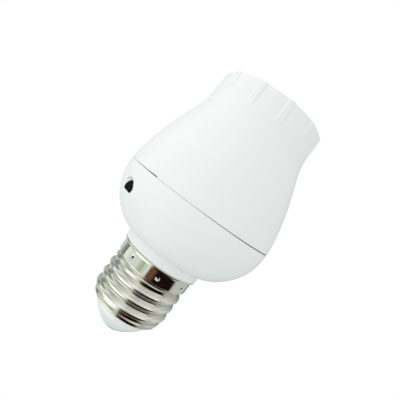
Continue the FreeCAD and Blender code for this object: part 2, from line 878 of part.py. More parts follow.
lensBack = lensSeat - size("LensFlangeDepth")
lens = newBody("sensor_lens")
lensFlange = drawCircle(
    newSketch(lens, "XZ_Plane", "lens_flange_circle", lensBack),
    (0, size("WindowHeight")), size("LensFlangeRadius"))
extrude(lens, "lens_flange", lensFlange, size("LensFlangeDepth"))
lensOutline = drawWindow(
    newSketch(lens, "XZ_Plane", "lens_outline", lensBack),
    size("WindowRadius") - size("WindowFit"), size("WindowFlat") - size("WindowFit"))
extrude(lens, "lens_pipe", lensOutline, lensFace - lensBack)
keep("sensor_lens", lens)

# Circuit board parts. Every leg stands in its own hole and reaches a little below the board.

boardTop = size("BoardFloor") + size("BoardThickness")
legFoot = size("BoardFloor") - size("LegReach")
legHoles = []


def leg(label, x, y, top):
    """One round leg from below the board up to a height, with the hole that it stands in."""
    hole = post(label + "_hole", size("LegHoleRadius"), size("BoardThickness") * 2, x, y,
                size("BoardFloor") - size("BoardThickness") / 2)
    legHoles.append(hole)
    return post(label, size("LegRadius"), asSize(top) - legFoot, x, y, legFoot)


sensorCentreY = size("SensorGap") + size("SensorDepth") / 2 - lensBack
legY = size("SensorLegInset") - boardRadius
sensorItems = [barAlongY("sensor_disc", size("SensorRadius"), size("SensorDepth"), 0, sensorCentreY,
                         size("WindowHeight"))]
for side in (-1, 1):
    legX = size("SensorLegPitch") / 2 * side
    sensorItems.append(leg("sensor_leg_%d" % (side + 1), legX, legY,
                           size("WindowHeight") + size("LegRadius")))
    sensorItems.append(barAlongY("sensor_elbow_%d" % (side + 1), size("ElbowRadius"), legY - sensorCentreY,
                                 legX, (legY + sensorCentreY) / 2, size("WindowHeight")))
keep("light_sensor", join("light_sensor", sensorItems))

partFloor = boardTop + size("PartLift")
filmY = boardRadius - size("FilmInset")
filmItems = [block("film_case", size("FilmLength"), size("FilmWidth"), size("FilmHeight"),
                   size("FilmX"), filmY, partFloor)]
for side in (-1, 1):
    filmItems.append(leg("film_leg_%d" % (side + 1), size("FilmX") + size("FilmPitch") / 2 * side,
                         filmY, partFloor + size("PartLift")))
keep("film_capacitor", join("film_capacitor", filmItems))

canItems = [post("can_case", size("CanRadius"), size("CanHeight"), size("CanX"), size("CanY"), partFloor)]
for side in (-1, 1):
    canItems.append(leg("can_leg_%d" % (side + 1), size("CanX") + size("CanPitch") / 2 * side,
                        size("CanY"), partFloor + size("PartLift")))
keep("smoothing_capacitor", join("smoothing_capacitor", canItems))

tabX = size("ThyristorX") + size("ThyristorThickness") / 2 - size("ThyristorTabThickness") / 2
caseFoot = boardTop + size("ThyristorStand")
tabFoot = caseFoot + size("ThyristorHeight") - size("ThyristorTabThickness")
tabHeight = size("ThyristorTabHeight") + size("ThyristorTabThickness")
thyristorItems = [
    block("thyristor_case", size("ThyristorThickness"), size("ThyristorWidth"), size("ThyristorHeight"),
          size("ThyristorX"), size("ThyristorY"), caseFoot),
    block("thyristor_tab", size("ThyristorTabThickness"), size("ThyristorWidth"), tabHeight, tabX,
          size("ThyristorY"), tabFoot),
]
for step in (-1, 0, 1):
    thyristorItems.append(leg("thyristor_leg_%d" % (step + 1), size("ThyristorX"),
                              size("ThyristorY") + size("ThyristorPitch") * step,
                              caseFoot + size("PartLift")))
tabHole = barAlongX("thyristor_hole", size("ThyristorHoleRadius"), size("ThyristorTabThickness") * 3, tabX,
                    size("ThyristorY"), caseFoot + size("ThyristorHeight") + size("ThyristorTabHeight") / 2)
keep("thyristor", subtract("thyristor", join("thyristor_blank", thyristorItems), [tabHole]))


def leggedBlock(label, name, columns, y):
    """A low moulded block with a row of flat-sided legs along each long side."""
    x = size(name + "X")
    items = [block(label + "_case", size(name + "Length"), size(name + "Width"), size(name + "Height"),
                   x, y, partFloor)]
    shoulder = partFloor + size(name + "Height") / 2
    for column in range(columns):
        across = x + size(name + "PitchX") * (column - (columns - 1) / 2)
        for side in (-1, 1):
            tag = "%s_%d_%d" % (label, column, side + 1)
            along = y + size(name + "PitchY") / 2 * side
            items.append(leg(tag + "_leg", across, along, shoulder))
            items.append(block(tag + "_arm", size("LegRadius") * 2, size(name + "PitchY") / 2,
                               size("LegRadius"), across, y + size(name + "PitchY") / 4 * side,
                               shoulder - size("LegRadius")))
    return keep(label, join(label, items))


leggedBlock("bridge_rectifier", "Bridge", 2, size("BridgeInset") - boardRadius)
leggedBlock("control_chip", "Chip", 4, size("ChipY"))

resistors = []
resistorX = size("ResistorInset") - boardRadius
for index in range(3):
    y = size("ResistorY") - size("ResistorStep") * index
    lift = partFloor + size("ResistorRadius")
    tag = "resistor_%d" % index
    items = [
        barAlongX(tag + "_case", size("ResistorRadius"), size("ResistorLength"), resistorX, y, lift),
        barAlongX(tag + "_wire", size("ElbowRadius"), size("ResistorPitch"), resistorX, y, lift),
    ]
    for side in (-1, 1):
        items.append(leg("%s_leg_%d" % (tag, side + 1), resistorX + size("ResistorPitch") / 2 * side, y,
                         lift + size("LegRadius")))
    resistors.append(join(tag, items))
keep("resistors", group("resistors", resistors))

varistorLift = partFloor + size("VaristorRadius")
varistorItems = [barAlongX("varistor_disc", size("VaristorRadius"), size("VaristorThickness"),
                           size("VaristorX"), size("VaristorY"), varistorLift)]
for side in (-1, 1):
    varistorItems.append(leg("varistor_leg_%d" % (side + 1), size("VaristorX"),
                             size("VaristorY") + size("VaristorPitch") / 2 * side, varistorLift))
keep("varistor", join("varistor", varistorItems))

# Screws: three alike share a sub-part, each a head and a shank.


def screws(label, circle, turn, headFoot, shankFoot, length):
    items = []
    for index in range(int(size("BossCount").number)):
        angle = turn + Size("360.0", 360) / size("BossCount") * index
        x, y = circle * cosine(angle), circle * sine(angle)
        head = post("%s_head_%d" % (label, index), size("ScrewHeadRadius"), size("ScrewHeadDepth"),
                    x, y, headFoot)
        shank = post("%s_shank_%d" % (label, index), size("ScrewShankRadius"), length, x, y, shankFoot)
        items.append(join("%s_%d" % (label, index), [head, shank]))
    return keep(label, group(label, items))


screws("board_screws", boardScrewCircle, size("BoardBossTurn"), boardTop,
       boardTop - size("BoardScrewLength"), size("BoardScrewLength") + size("ScrewHeadDepth") / 2)
screwHoles = []
for index in range(int(size("BossCount").number)):
    angle = size("BoardBossTurn") + Size("360.0", 360) / size("BossCount") * index
    screwHoles.append(post("board_screw_hole_%d" % index, size("ScrewShankRadius") + size("BoardHoleFit"),
                           size("BoardThickness") * 2, boardScrewCircle * cosine(angle),
                           boardScrewCircle * sine(angle), size("BoardFloor") - size("BoardThickness") / 2))
boardBlank = post("board_blank", boardRadius, size("BoardThickness"), 0, 0, size("BoardFloor"))
keep("circuit_board", subtract("circuit_board", boardBlank, legHoles + screwHoles))

# Socket base: a round flange screwed up against the sleeve, with a plug that centres it.

flangeFoot = size("SleeveFoot") - size("BaseFlangeThickness")
baseTop = size("SleeveFoot") + size("BasePlugHeight")
plugRadius = size("MouthRadius") - size("BasePlugFit")
rivetHole = size("ShellRivetRadius") + size("RivetFit")

base = newBody("socket_base")
revolve(
    base, "base_disc",
    (0, flangeFoot),
    [
        (baseRadius, flangeFoot),
        (baseRadius, size("SleeveFoot")),
        (plugRadius, size("SleeveFoot")),
        (plugRadius, baseTop),
        (0, baseTop),
        (0, flangeFoot),
    ],
)
baseScrewHole = drawCircle(
    newSketch(base, "XY_Plane", "base_screw_circle", size("SleeveFoot"), size("SocketBossTurn")),
    (socketScrewCircle, 0), size("ScrewShankRadius") + size("BoardHoleFit"))
baseScrewCut = extrude(base, "base_screw_hole", baseScrewHole, size("BaseFlangeThickness") * 2, "Pocket")
repeatAround(base, "base_screw_holes", [baseScrewCut], size("BossCount"))
shellRivetHole = drawCircle(newSketch(base, "XY_Plane", "shell_rivet_circle", baseTop),
                            (0, size("RivetCircle")), rivetHole)
shellRivetCut = extrude(base, "shell_rivet_hole", shellRivetHole, (baseTop - flangeFoot) * 2, "Pocket")
repeatAround(base, "shell_rivet_holes", [shellRivetCut], 2)
leafRivetHole = drawCircle(newSketch(base, "XY_Plane", "leaf_rivet_circle", baseTop),
                           (size("LeafRivetX"), 0), rivetHole)
extrude(base, "leaf_rivet_hole", leafRivetHole, (baseTop - flangeFoot) * 2, "Pocket")
keep("socket_base", base)

screws("socket_screws", socketScrewCircle, size("SocketBossTurn"),
       flangeFoot - size("ScrewHeadDepth"), flangeFoot - size("ScrewHeadDepth") / 2,
       size("SocketScrewLength") + size("ScrewHeadDepth") / 2)

# Socket screw shell: rolled like the cap, a little larger, with a riveted floor and a flared lip.

socketInside = size("ScrewCrestRadius") + size("ScrewPlay")
socketOutside = socketInside + sheetThickness
floorTop = baseTop + sheetThickness
cupTop = baseTop + size("ShellFloorWall")
shellFloor = newBody("shell_floor")
revolve(
    shellFloor, "floor",
    (size("ShellFloorHoleRadius"), baseTop),
    [
        (socketOutside + threadStep, baseTop),
        (socketOutside + threadStep, cupTop),
        (socketInside - threadStep, cupTop),
        (socketInside - threadStep, floorTop),
        (size("ShellFloorHoleRadius"), floorTop),
        (size("ShellFloorHoleRadius"), baseTop),
    ],
)
floorHole = drawCircle(newSketch(shellFloor, "XY_Plane", "floor_rivet_circle", floorTop),
                       (0, size("RivetCircle")), rivetHole)
floorCut = extrude(shellFloor, "floor_rivet_hole", floorHole, sheetThickness * 2, "Pocket")
repeatAround(shellFloor, "floor_rivet_holes", [floorCut], 2)
shellLip = newBody("shell_lip")
lipFoot = size("ShellTop") - size("ShellLipWidth")
revolve(
    shellLip, "lip",
    (socketInside - threadStep, lipFoot),
    [
        (socketOutside + threadStep, lipFoot),
        (socketOutside + size("ShellLipWidth"), size("ShellTop") - sheetThickness),
        (socketOutside + size("ShellLipWidth"), size("ShellTop")),
        (socketInside + sheetThickness, size("ShellTop")),
        (socketInside - threadStep, lipFoot + sheetThickness),
        (socketInside - threadStep, lipFoot),
    ],
)
socketRoot = sheet.get("ScrewRootRadius") + sheet.get("ScrewPlay") + sheet.get("SheetThickness")
socketSleeve = shaped("socket_sleeve", rolledSleeve(
    socketRoot, socketOutside.number, cupTop.number - sheet.get("SheetThickness") / 2,
    lipFoot.number + sheet.get("SheetThickness") / 2, 1.0))
keep("socket_thread_shell", join("socket_thread_shell", [shellFloor, socketSleeve, shellLip]))

# Rivets clamp the shell and the leaf to the base, each with a solder tag below.

tagFoot = flangeFoot - size("TagThickness")


def rivet(label, x, y, top):
    """Two heads and a shank, from above the clamped sheet to below the solder tag."""
    shankFoot = tagFoot - size("ShellRivetHeadDepth")
    return join(label, [
        post(label + "_shank", size("ShellRivetRadius"), top - shankFoot + size("ShellRivetHeadDepth") / 2,
             x, y, shankFoot),
        post(label + "_head", size("ShellRivetHeadRadius"), size("ShellRivetHeadDepth"), x, y, top),
        post(label + "_tail", size("ShellRivetHeadRadius"), size("ShellRivetHeadDepth"), x, y, shankFoot),
    ])


keep("shell_rivets", group("shell_rivets", [
    rivet("shell_rivet_far", 0, size("RivetCircle"), floorTop),
    rivet("shell_rivet_near", 0, -size("RivetCircle"), floorTop),
]))
leafTop = baseTop + size("LeafThickness")
keep("leaf_rivet", rivet("leaf_rivet", size("LeafRivetX"), 0, leafTop))

tags = []
farTagX = size("TagLength") / 2 - size("TagWidth") / 2
farTag = block("far_tag_plate", size("TagLength"), size("TagWidth"), size("TagThickness"),
               farTagX, size("RivetCircle"), tagFoot)
nearTag = block("near_tag_plate", size("TagWidth"), size("TagWidth"), size("TagThickness"),
                0, -size("RivetCircle"), tagFoot)
leafTagY = -(size("TagLength") / 2 - size("TagWidth") / 2)
leafTag = block("leaf_tag_plate", size("TagWidth"), size("TagLength"), size("TagThickness"),
                size("LeafRivetX"), leafTagY, tagFoot)
for label, plate, x, y in (("far_tag", farTag, 0, size("RivetCircle")),
                           ("near_tag", nearTag, 0, -size("RivetCircle")),
                           ("leaf_tag", leafTag, size("LeafRivetX"), 0)):
    hole = post(label + "_hole", rivetHole, size("TagThickness") * 3, x, y, tagFoot - size("TagThickness"))
    tags.append(subtract(label, plate, [hole]))
keep("terminal_tags", group("terminal_tags", tags))

# Centre contact: a strip riveted at its foot rises to a pad, which carries the button.

padFoot = baseTop + size("LeafRise")
padTop = padFoot + size("LeafThickness")
leaf = newBody("contact_leaf")
leafSketch = drawOutline(
    newSketch(leaf, "XZ_Plane", "leaf_outline"),
    (size("LeafFootStart"), baseTop),
    [
        (size("LeafBendX"), baseTop),
        (size("LeafPadStart"), padFoot),
        (size("LeafPadEnd"), padFoot),
        (size("LeafPadEnd"), padTop),
        (size("LeafPadStart") - size("LeafThickness") / 2, padTop),
        (size("LeafBendX") - size("LeafThickness") / 2, leafTop),
        (size("LeafFootStart"), leafTop),
        (size("LeafFootStart"), baseTop),
    ])
extrude(leaf, "leaf_strip", leafSketch, size("LeafWidth"), midplane=True)
leafHole = drawCircle(newSketch(leaf, "XY_Plane", "leaf_hole_circle", leafTop),
                      (size("LeafRivetX"), 0), rivetHole)
extrude(leaf, "leaf_hole", leafHole, size("LeafThickness") * 2, "Pocket")
padHole = drawCircle(newSketch(leaf, "XY_Plane", "pad_hole_circle", padTop), (0, 0),
                     size("ButtonStemRadius") + size("ButtonStemFit"))
extrude(leaf, "pad_hole", padHole, size("LeafThickness") * 2, "Pocket")
keep("contact_leaf", leaf)

button = newBody("contact_button")
buttonRim = size("ButtonHeight") / 3
buttonDome = size("ButtonHeight") - buttonRim
buttonArc = (size("ButtonRadius") * size("ButtonRadius") + buttonDome * buttonDome) / (buttonDome * 2)
revolve(
    button, "button",
    (0, padFoot - size("ButtonHeadDepth")),
    [
        (size("ButtonHeadRadius"), padFoot - size("ButtonHeadDepth")),
        (size("ButtonHeadRadius"), padFoot),
        (size("ButtonStemRadius"), padFoot),
        (size("ButtonStemRadius"), padTop),
        (size("ButtonRadius"), padTop),
        (size("ButtonRadius"), padTop + buttonRim),
        {"arc": (0, padTop + size("ButtonHeight")), "radius": buttonArc},
        (0, padFoot - size("ButtonHeadDepth")),
    ],
)
keep("contact_button", button)

# Wires: straight runs joined by tangent arcs, each as large as its two runs allow.


def wirePath(points):
    """The runs and arcs of a wire, and the smallest radius that it bends to."""
    edges = []
    here = points[0]
    tightest = None
    for before, corner, after in zip(points, points[1:], points[2:]):
        into = corner - before
        out = after - corner
        turn = into.getAngle(out)
        shorter = min(into.Length, out.Length)
        trim = 0.45 * shorter
        radius = trim / math.tan(turn / 2)
        tightest = radius if tightest is None else min(tightest, radius)
        first = corner - Vector(into).normalize() * trim
        last = corner + Vector(out).normalize() * trim
        outward = (Vector(into).normalize() - Vector(out).normalize()).normalize()
        middle = corner - outward * (radius / math.cos(turn / 2) - radius)
        edges.append(Part.LineSegment(here, first).toShape())
        edges.append(Part.Arc(first, middle, last).toShape())
        here = last
    edges.append(Part.LineSegment(here, points[-1]).toShape())
    return Part.Wire(edges), tightest


def wire(label, points):
    """A round insulated wire along its points."""
    points = [Vector(*[asSize(value).number for value in point]) for point in points]
    path, tightest = wirePath(points)
    section = Part.Wire(Part.Circle(points[0], points[1] - points[0], sheet.get("WireRadius")).toShape())
    solid = path.makePipeShell([section], True, False)
    expected = math.pi * sheet.get("WireRadius") ** 2 * path.Length
    print("%s: tightest radius %.1f, volume %.1f of %.1f" % (label, tightest, solid.Volume, expected))
    return keep(label, shaped(label, solid))


boardFloor = size("BoardFloor")
wire("cap_shell_lead", [
    (size("CapWireX"), 0, size("CapWireFoot")),
    (size("CapWireX"), 0, size("CapWireFoot") + size("CapWireRun")),
    (size("SpigotBoreRadius") - size("WireRadius") * 2, 0, -size("SpigotDepth") - size("WireRadius") * 2),
    (size("SpigotBoreRadius") - size("WireRadius") * 2, 0, boardFloor),
])
capHeadTop = coneFloor + size("RivetHeadDepth")
centreWireX = -(size("SpigotBoreRadius") / 2)
wire("cap_centre_lead", [
    (0, 0, capHeadTop),
    (0, 0, capHeadTop + size("SpigotBoreRadius")),
    (centreWireX, 0, size("CapCollarEnd")),
    (centreWireX, 0, boardFloor),
])
filmRight = size("FilmX") + size("FilmLength") / 2
shellWireX = filmRight + size("WireRadius") * 8
farWireX = size("TagLength") - size("TagWidth") / 2 - size("WireRadius")
wire("socket_shell_lead", [
    (shellWireX, filmY, boardTop),
    (shellWireX, filmY, boardTop + size("FilmHeight") * 0.7),
    (size("ThyristorX"), filmY + size("WireRadius"), tagFoot - size("WireRadius") * 6),
    (farWireX, size("RivetCircle"), tagFoot - size("WireRadius") * 4.5),
    (farWireX, size("RivetCircle"), tagFoot),
])
leafWireY = -(size("TagLength") - size("TagWidth") / 2 - size("WireRadius"))
centreWireY = size("CanY") - size("CanRadius")
edgeWireX = size("CanX") - size("CanRadius") + size("WireRadius") / 2
wire("socket_centre_lead", [
    (edgeWireX, centreWireY, boardTop),
    (edgeWireX, centreWireY, boardTop + size("CanHeight") * 0.8),
    (size("CanX"), centreWireY - size("WireRadius") * 2, tagFoot - size("WireRadius") * 5),
    (size("LeafRivetX"), leafWireY, tagFoot - size("WireRadius") * 4),
    (size("LeafRivetX"), leafWireY, tagFoot),
])

# Build everything, test it, then write one file for each sub-part.

doc.recompute()
for item in doc.Objects:
    if "Invalid" in item.State or "Error" in item.State:
        raise RuntimeError("%s did not build: %s" % (item.Name, item.State))
for label, item in subParts.items():
    if item.Shape.isNull() or not item.Shape.isValid() or not item.Shape.Solids:
        raise RuntimeError("%s has no valid solid" % label)

os.makedirs("parts", exist_ok=True)
for label, item in subParts.items():
    item.Shape.exportStep("parts/%s.step" % label)
    print("%s: %d solids, %.1f mm3" % (label, len(item.Shape.Solids), item.Shape.Volume))
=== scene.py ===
import math

import bmesh
import bpy
from mathutils import Matrix, Vector


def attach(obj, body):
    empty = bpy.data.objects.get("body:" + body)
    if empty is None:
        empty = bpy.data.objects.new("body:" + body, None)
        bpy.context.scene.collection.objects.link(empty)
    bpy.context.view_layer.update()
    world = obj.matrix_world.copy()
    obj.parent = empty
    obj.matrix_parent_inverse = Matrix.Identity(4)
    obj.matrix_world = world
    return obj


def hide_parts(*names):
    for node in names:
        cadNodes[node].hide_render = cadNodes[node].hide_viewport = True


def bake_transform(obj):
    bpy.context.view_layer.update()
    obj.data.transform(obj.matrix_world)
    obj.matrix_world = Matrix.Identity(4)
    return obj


# Light-sensing lamp holder: white two-part housing, rolled nickel screw cap, screw socket in the neck.
# Sizes in the dictionaries are millimetres unless a note says otherwise; meshes are metres.

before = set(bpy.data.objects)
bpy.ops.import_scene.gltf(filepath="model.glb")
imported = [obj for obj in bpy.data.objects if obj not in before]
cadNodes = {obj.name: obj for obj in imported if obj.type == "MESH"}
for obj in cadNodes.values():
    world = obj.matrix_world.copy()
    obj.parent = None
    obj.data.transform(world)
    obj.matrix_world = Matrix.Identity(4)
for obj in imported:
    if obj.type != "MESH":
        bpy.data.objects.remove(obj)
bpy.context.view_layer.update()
mm = 0.001
sharpAngle = math.radians(40)  # edges that turn more than this stay sharp
weldDistance = 1e-7  # metres; corners nearer than this become one
axisRadius = 1e-6  # a corner nearer to the axis than this lies on it
print("frame loaded:", len(cadNodes), "nodes")


# Node graphs

class Term:  # a socket that adds Math nodes when it is used in an expression
    def __init__(self, graph, socket):
        self.graph = graph
        self.socket = socket

    def do(self, operation, *others):
        return self.graph.node("ShaderNodeMath", dict(enumerate((self,) + others)), operation=operation)

    def __add__(self, other):
        return self.do("ADD", other)

    def __sub__(self, other):
        return self.do("SUBTRACT", other)

    def __rsub__(self, other):
        return self.graph.node("ShaderNodeMath", {0: other, 1: self}, operation="SUBTRACT")

    def __mul__(self, other):
        return self.do("MULTIPLY", other)

    def __truediv__(self, other):
        return self.do("DIVIDE", other)

    def __rtruediv__(self, other):
        return self.graph.node("ShaderNodeMath", {0: other, 1: self}, operation="DIVIDE")

    def __pow__(self, other):
        return self.do("POWER", other)

    __radd__ = __add__
    __rmul__ = __mul__


class Graph:  # a node tree, material or geometry, that is filled by calls
    def __init__(self, tree):
        self.tree = tree

    def node(self, kind, sockets=None, output=0, **settings):  # gives the term of one output
        made = self.tree.nodes.new(kind)
        for name, value in settings.items():
            setattr(made, name, value)
        for name, value in (sockets or {}).items():
            if isinstance(value, Term):
                self.tree.links.new(value.socket, made.inputs[name])
            else:
                made.inputs[name].default_value = value
        return Term(self, made.outputs[output]) if made.outputs else made

    def ramp(self, value, stops):  # stops are (place, color)
        made = self.node("ShaderNodeValToRGB", {0: value})
        elements = made.socket.node.color_ramp.elements
        while len(elements) < len(stops):
            elements.new(1.0)
        for element, (place, color) in zip(elements, stops):
            element.position = place
            element.color = (*color, 1.0)
        return made

    def mixColor(self, factor, first, second):  # 6, 7 and 2 are the node's sockets for colors
        ends = [value if isinstance(value, Term) else (*value, 1.0) for value in (first, second)]
        return self.node("ShaderNodeMix", {0: factor, 6: ends[0], 7: ends[1]}, 2, data_type="RGBA")

    def smooth(self, value, low=0.0, high=1.0):
        return self.node("ShaderNodeMapRange", {"Value": value, "From Min": low, "From Max": high},
                         interpolation_type="SMOOTHSTEP")

    def split(self, vector):
        return [self.node("ShaderNodeSeparateXYZ", {0: vector}, axis) for axis in range(3)]

    def splitRound(self, vector):  # x, y, z and the distance from the axis
        x, y, z = self.split(vector)
        return x, y, z, (x * x + y * y).do("SQRT")


# Mesh helpers

def curvePoints(poles, count):  # cubic B-spline, clamped at both ends, by its control points
    degree = 3
    spans = len(poles) - degree
    knots = [0.0] * degree + [step / spans for step in range(spans + 1)] + [1.0] * degree
    points = []
    for step in range(count + 1):
        share = step / count
        span = min(int(share * spans), spans - 1) + degree
        near = [Vector(pole) for pole in poles[span - degree:span + 1]]
        for level in range(1, degree + 1):
            for index in range(degree, level - 1, -1):
                low = knots[span - degree + index]
                mix = (share - low) / (knots[span + 1 + index - level] - low)
                near[index] = near[index - 1] * (1 - mix) + near[index] * mix
        points.append(tuple(near[degree]))
    return points


def filleted(corners, arcStep=15):  # closed outline; a corner's third number is its fillet radius
    points = []
    for index, corner in enumerate(corners):
        here = Vector(corner[:2])
        if len(corner) < 3:
            points.append(tuple(here))
            continue
        before = (Vector(corners[index - 1][:2]) - here).normalized()
        after = (Vector(corners[(index + 1) % len(corners)][:2]) - here).normalized()
        half = before.angle(after) / 2
        centre = here + (before + after).normalized() * corner[2] / math.sin(half)
        spoke = here + before * corner[2] / math.tan(half) - centre
        turn = math.copysign(math.pi - 2 * half, after.cross(before))
        steps = max(2, math.ceil(abs(math.degrees(turn)) / arcStep))
        for step in range(steps + 1):
            arm = spoke.copy()
            arm.rotate(Matrix.Rotation(turn * step / steps, 2))
            points.append(tuple(centre + arm))
    return points


def newObject(name, data):
    made = bpy.data.objects.new(name, data)
    bpy.context.scene.collection.objects.link(made)
    return made


def newPiece(name, vertices, faces):
    mesh = bpy.data.meshes.new(name)
    mesh.from_pydata([Vector(vertex) * mm for vertex in vertices], [], faces)
    work = bmesh.new()
    work.from_mesh(mesh)
    bmesh.ops.remove_doubles(work, verts=work.verts, dist=weldDistance)
    bmesh.ops.recalc_face_normals(work, faces=work.faces)
    work.to_mesh(mesh)
    work.free()
    mesh.shade_smooth()
    mesh.set_sharp_from_angle(angle=sharpAngle)
    return newObject(name, mesh)


def evenAngles(columns):
    return [math.tau * column / columns for column in range(columns)]


def turnedParts(profile, angles):  # vertices and faces of a profile of (radius, height) turned about Z
    vertices = []
    rings = []
    for radius, height in profile:
        if radius < axisRadius:
            rings.append([len(vertices)] * len(angles))
            vertices.append((0, 0, height))
            continue
        rings.append([len(vertices) + column for column in range(len(angles))])
        vertices += [(radius * math.cos(angle), radius * math.sin(angle), height) for angle in angles]
    solid = profile[0][0] < axisRadius
    faces = []
    for low, high in zip(rings, rings[1:] if solid else rings[1:] + rings[:1]):
        for column in range(len(angles)):
            follow = (column + 1) % len(angles)
            corners = dict.fromkeys([low[column], low[follow], high[follow], high[column]])
            if len(corners) > 2:
                faces.append(list(corners))
    return vertices, faces


def turned(name, profile, columns=96):
    return newPiece(name, *turnedParts(filleted(profile), evenAngles(columns)))


def wall(radius, start, end, rows):  # rows between two heights of an upright wall
    return [(radius, start + (end - start) * row / rows) for row in range(1, rows)]


def crown(radius, rise, steps):  # a shallow dome between its middle and its edge, as (radius, drop)
    arcRadius = (radius ** 2 + rise ** 2) / (2 * rise)
    reach = math.asin(radius / arcRadius)
    return [(arcRadius * math.sin(reach * step / steps), arcRadius * (1 - math.cos(reach * step / steps)))
            for step in range(1, steps)]


def skin(vertices, faces, ring, layers, centre):  # goes on from a ring over more rings to a point
    for layer in layers:
        follow = list(range(len(vertices), len(vertices) + len(layer)))
        vertices += layer
        for index in range(len(ring)):
            after = (index + 1) % len(ring)
            faces.append([ring[index], ring[after], follow[after], follow[index]])
        ring = follow
    vertices.append(centre)
    faces += [[ring[index], ring[(index + 1) % len(ring)], len(vertices) - 1] for index in range(len(ring))]


def addTree(piece, tree, material, sizes, **numbers):  # sizes in millimetres, numbers as they are
    modifier = piece.modifiers.new(tree.name, "NODES")
    modifier.node_group = tree
    values = {**{name: size * mm for name, size in sizes.items()}, **numbers, "material": material}
    for item in tree.interface.items_tree:
        if item.in_out == "INPUT" and item.name in values:
            modifier[item.identifier] = values[item.name]


def settle(piece):  # the evaluated modifiers become the piece's own plain mesh
    bpy.context.view_layer.update()
    evaluated = piece.evaluated_get(bpy.context.evaluated_depsgraph_get())
    made = bpy.data.meshes.new_from_object(evaluated)
    old = piece.data
    piece.modifiers.clear()
    piece.data = made
    made.name = piece.name
    bpy.data.meshes.remove(old)
    return piece


def finish(piece, body, slot, material, *replaced):
    piece.data.materials.clear()
    piece.data.materials.append(material)
    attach(piece, body)
    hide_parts(*replaced)


# Geometry Nodes trees

def newTree(name, *numbers, **others):  # the graph of an empty tree, and its named inputs as terms
    tree = bpy.data.node_groups.new(name, "GeometryNodeTree")
    tree.interface.new_socket("geometry", in_out="OUTPUT", socket_type="NodeSocketGeometry")
    kinds = {"geometry": "Geometry", **dict.fromkeys(numbers, "Float"), **others, "material": "Material"}
    for label, kind in kinds.items():
        tree.interface.new_socket(label, in_out="INPUT", socket_type="NodeSocket" + kind)
    graph = Graph(tree)
    entry = tree.nodes.new("NodeGroupInput")
    return graph, {socket.name: Term(graph, socket) for socket in entry.outputs if socket.name}


def closeTree(graph, given, geometry):  # whole, with its finish, as the export needs it
    whole = graph.node("GeometryNodeRealizeInstances", {"Geometry": geometry})
    dressed = graph.node("GeometryNodeSetMaterial", {"Geometry": whole, "Material": given["material"]})
    leave = graph.tree.nodes.new("NodeGroupOutput")
    graph.tree.links.new(dressed.socket, leave.inputs[0])
    return graph.tree


def roundPlace(graph):  # x, y, z, radius and angle of each point
    x, y, z, radius = graph.splitRound(graph.node("GeometryNodeInputPosition"))
    return x, y, z, radius, y.do("ARCTAN2", x)


def pushOut(graph, given, lift):  # ends a tree that moves every point away from the axis
    x, y, z, radius, _ = roundPlace(graph)
    scale = (radius + lift) / radius.do("MAXIMUM", 1e-6)
    place = graph.node("ShaderNodeCombineXYZ", {"X": x * scale, "Y": y * scale, "Z": z})
    moved = graph.node("GeometryNodeSetPosition", {"Geometry": given["geometry"], "Position": place})
    return closeTree(graph, given, moved)


arc = math.radians(62)  # half of the arc that each crest and each root is bent to


def makeScrewTree():  # rolls a screw into a plain sleeve: two round arcs for each pitch
    graph, given = newTree(
        "rolledScrew", "pitch", "crestHeight", "rise", "plainEnd", "bottom", "top", "runOut")
    _, _, z, _, angle = roundPlace(graph)
    phase = (z - given["crestHeight"]) / given["pitch"] - angle / math.tau
    offset = phase.do("PINGPONG", 0.5)  # in pitches, 0 on a crest and 0.5 in a root
    reach = 0.25 / math.sin(arc)
    depth = 2 * reach * (1 - math.cos(arc))
    bulge = (reach - (reach * reach - offset.do("PINGPONG", 0.25) ** 2).do("SQRT")) / depth
    crest = offset.do("LESS_THAN", 0.25)
    wave = bulge + crest * (1 - bulge * 2)
    foot = graph.smooth((z - given["bottom"]) / given["runOut"])
    head = graph.smooth((given["top"] - z) / given["runOut"])
    lift = (wave - given["plainEnd"]) * foot * head * given["rise"]
    return pushOut(graph, given, lift)


punch = dict(coneBend=1.3, pitNarrow=1.8, pitBend=0.8)  # how a mark deepens to its pit


def makeDimpleTree():  # punch marks in a ring round the collar
    graph, given = newTree("stakedDimples", "count", "turn", "height", "radius", "depth", "pit")
    _, _, z, radius, angle = roundPlace(graph)
    half = math.pi / given["count"]
    across = (angle - given["turn"]).do("WRAP", half, half * -1) * radius
    along = z - given["height"]
    distance = (across * across + along * along).do("SQRT") / given["radius"]
    cone = (1 - distance).do("MAXIMUM", 0.0) ** punch["coneBend"]
    point = (1 - distance * punch["pitNarrow"]).do("MAXIMUM", 0.0) ** punch["pitBend"]
    depth = cone * given["depth"] + point * given["pit"]
    return pushOut(graph, given, depth * -1)


def makeRibTree():  # soft ribs that grow out of the neck towards its rim
    graph, given = newTree("neckRibs", "count", "width", "height", "flank", "foot", "full", "inner", "fade")
    _, _, z, radius, angle = roundPlace(graph)
    half = math.pi / given["count"]
    across = angle.do("WRAP", half, half * -1).do("ABSOLUTE") * radius
    edge = given["width"] / 2
    flat = 1 - graph.smooth(across, edge - given["flank"], edge)
    grown = graph.smooth(z, given["foot"], given["full"])
    outside = graph.smooth(radius, given["inner"], given["inner"] + given["fade"])
    lift = flat * grown * outside * given["height"]
    return pushOut(graph, given, lift)


def makeRingTree():  # copies of the piece itself, evenly round the axis
    graph, given = newTree("copiesAround", count="Int")
    points = graph.node("GeometryNodePoints", {"Count": given["count"]})
    index = graph.node("GeometryNodeInputIndex")
    turn = index * math.tau / given["count"]
    rotation = graph.node("ShaderNodeCombineXYZ", {"Z": turn})
    copies = graph.node("GeometryNodeInstanceOnPoints", {
        "Points": points, "Instance": given["geometry"], "Rotation": rotation})
    return closeTree(graph, given, copies)


screwTree = makeScrewTree()
dimpleTree = makeDimpleTree()
ribTree = makeRibTree()
ringTree = makeRingTree()
print("geometry trees ready")


# Finishes

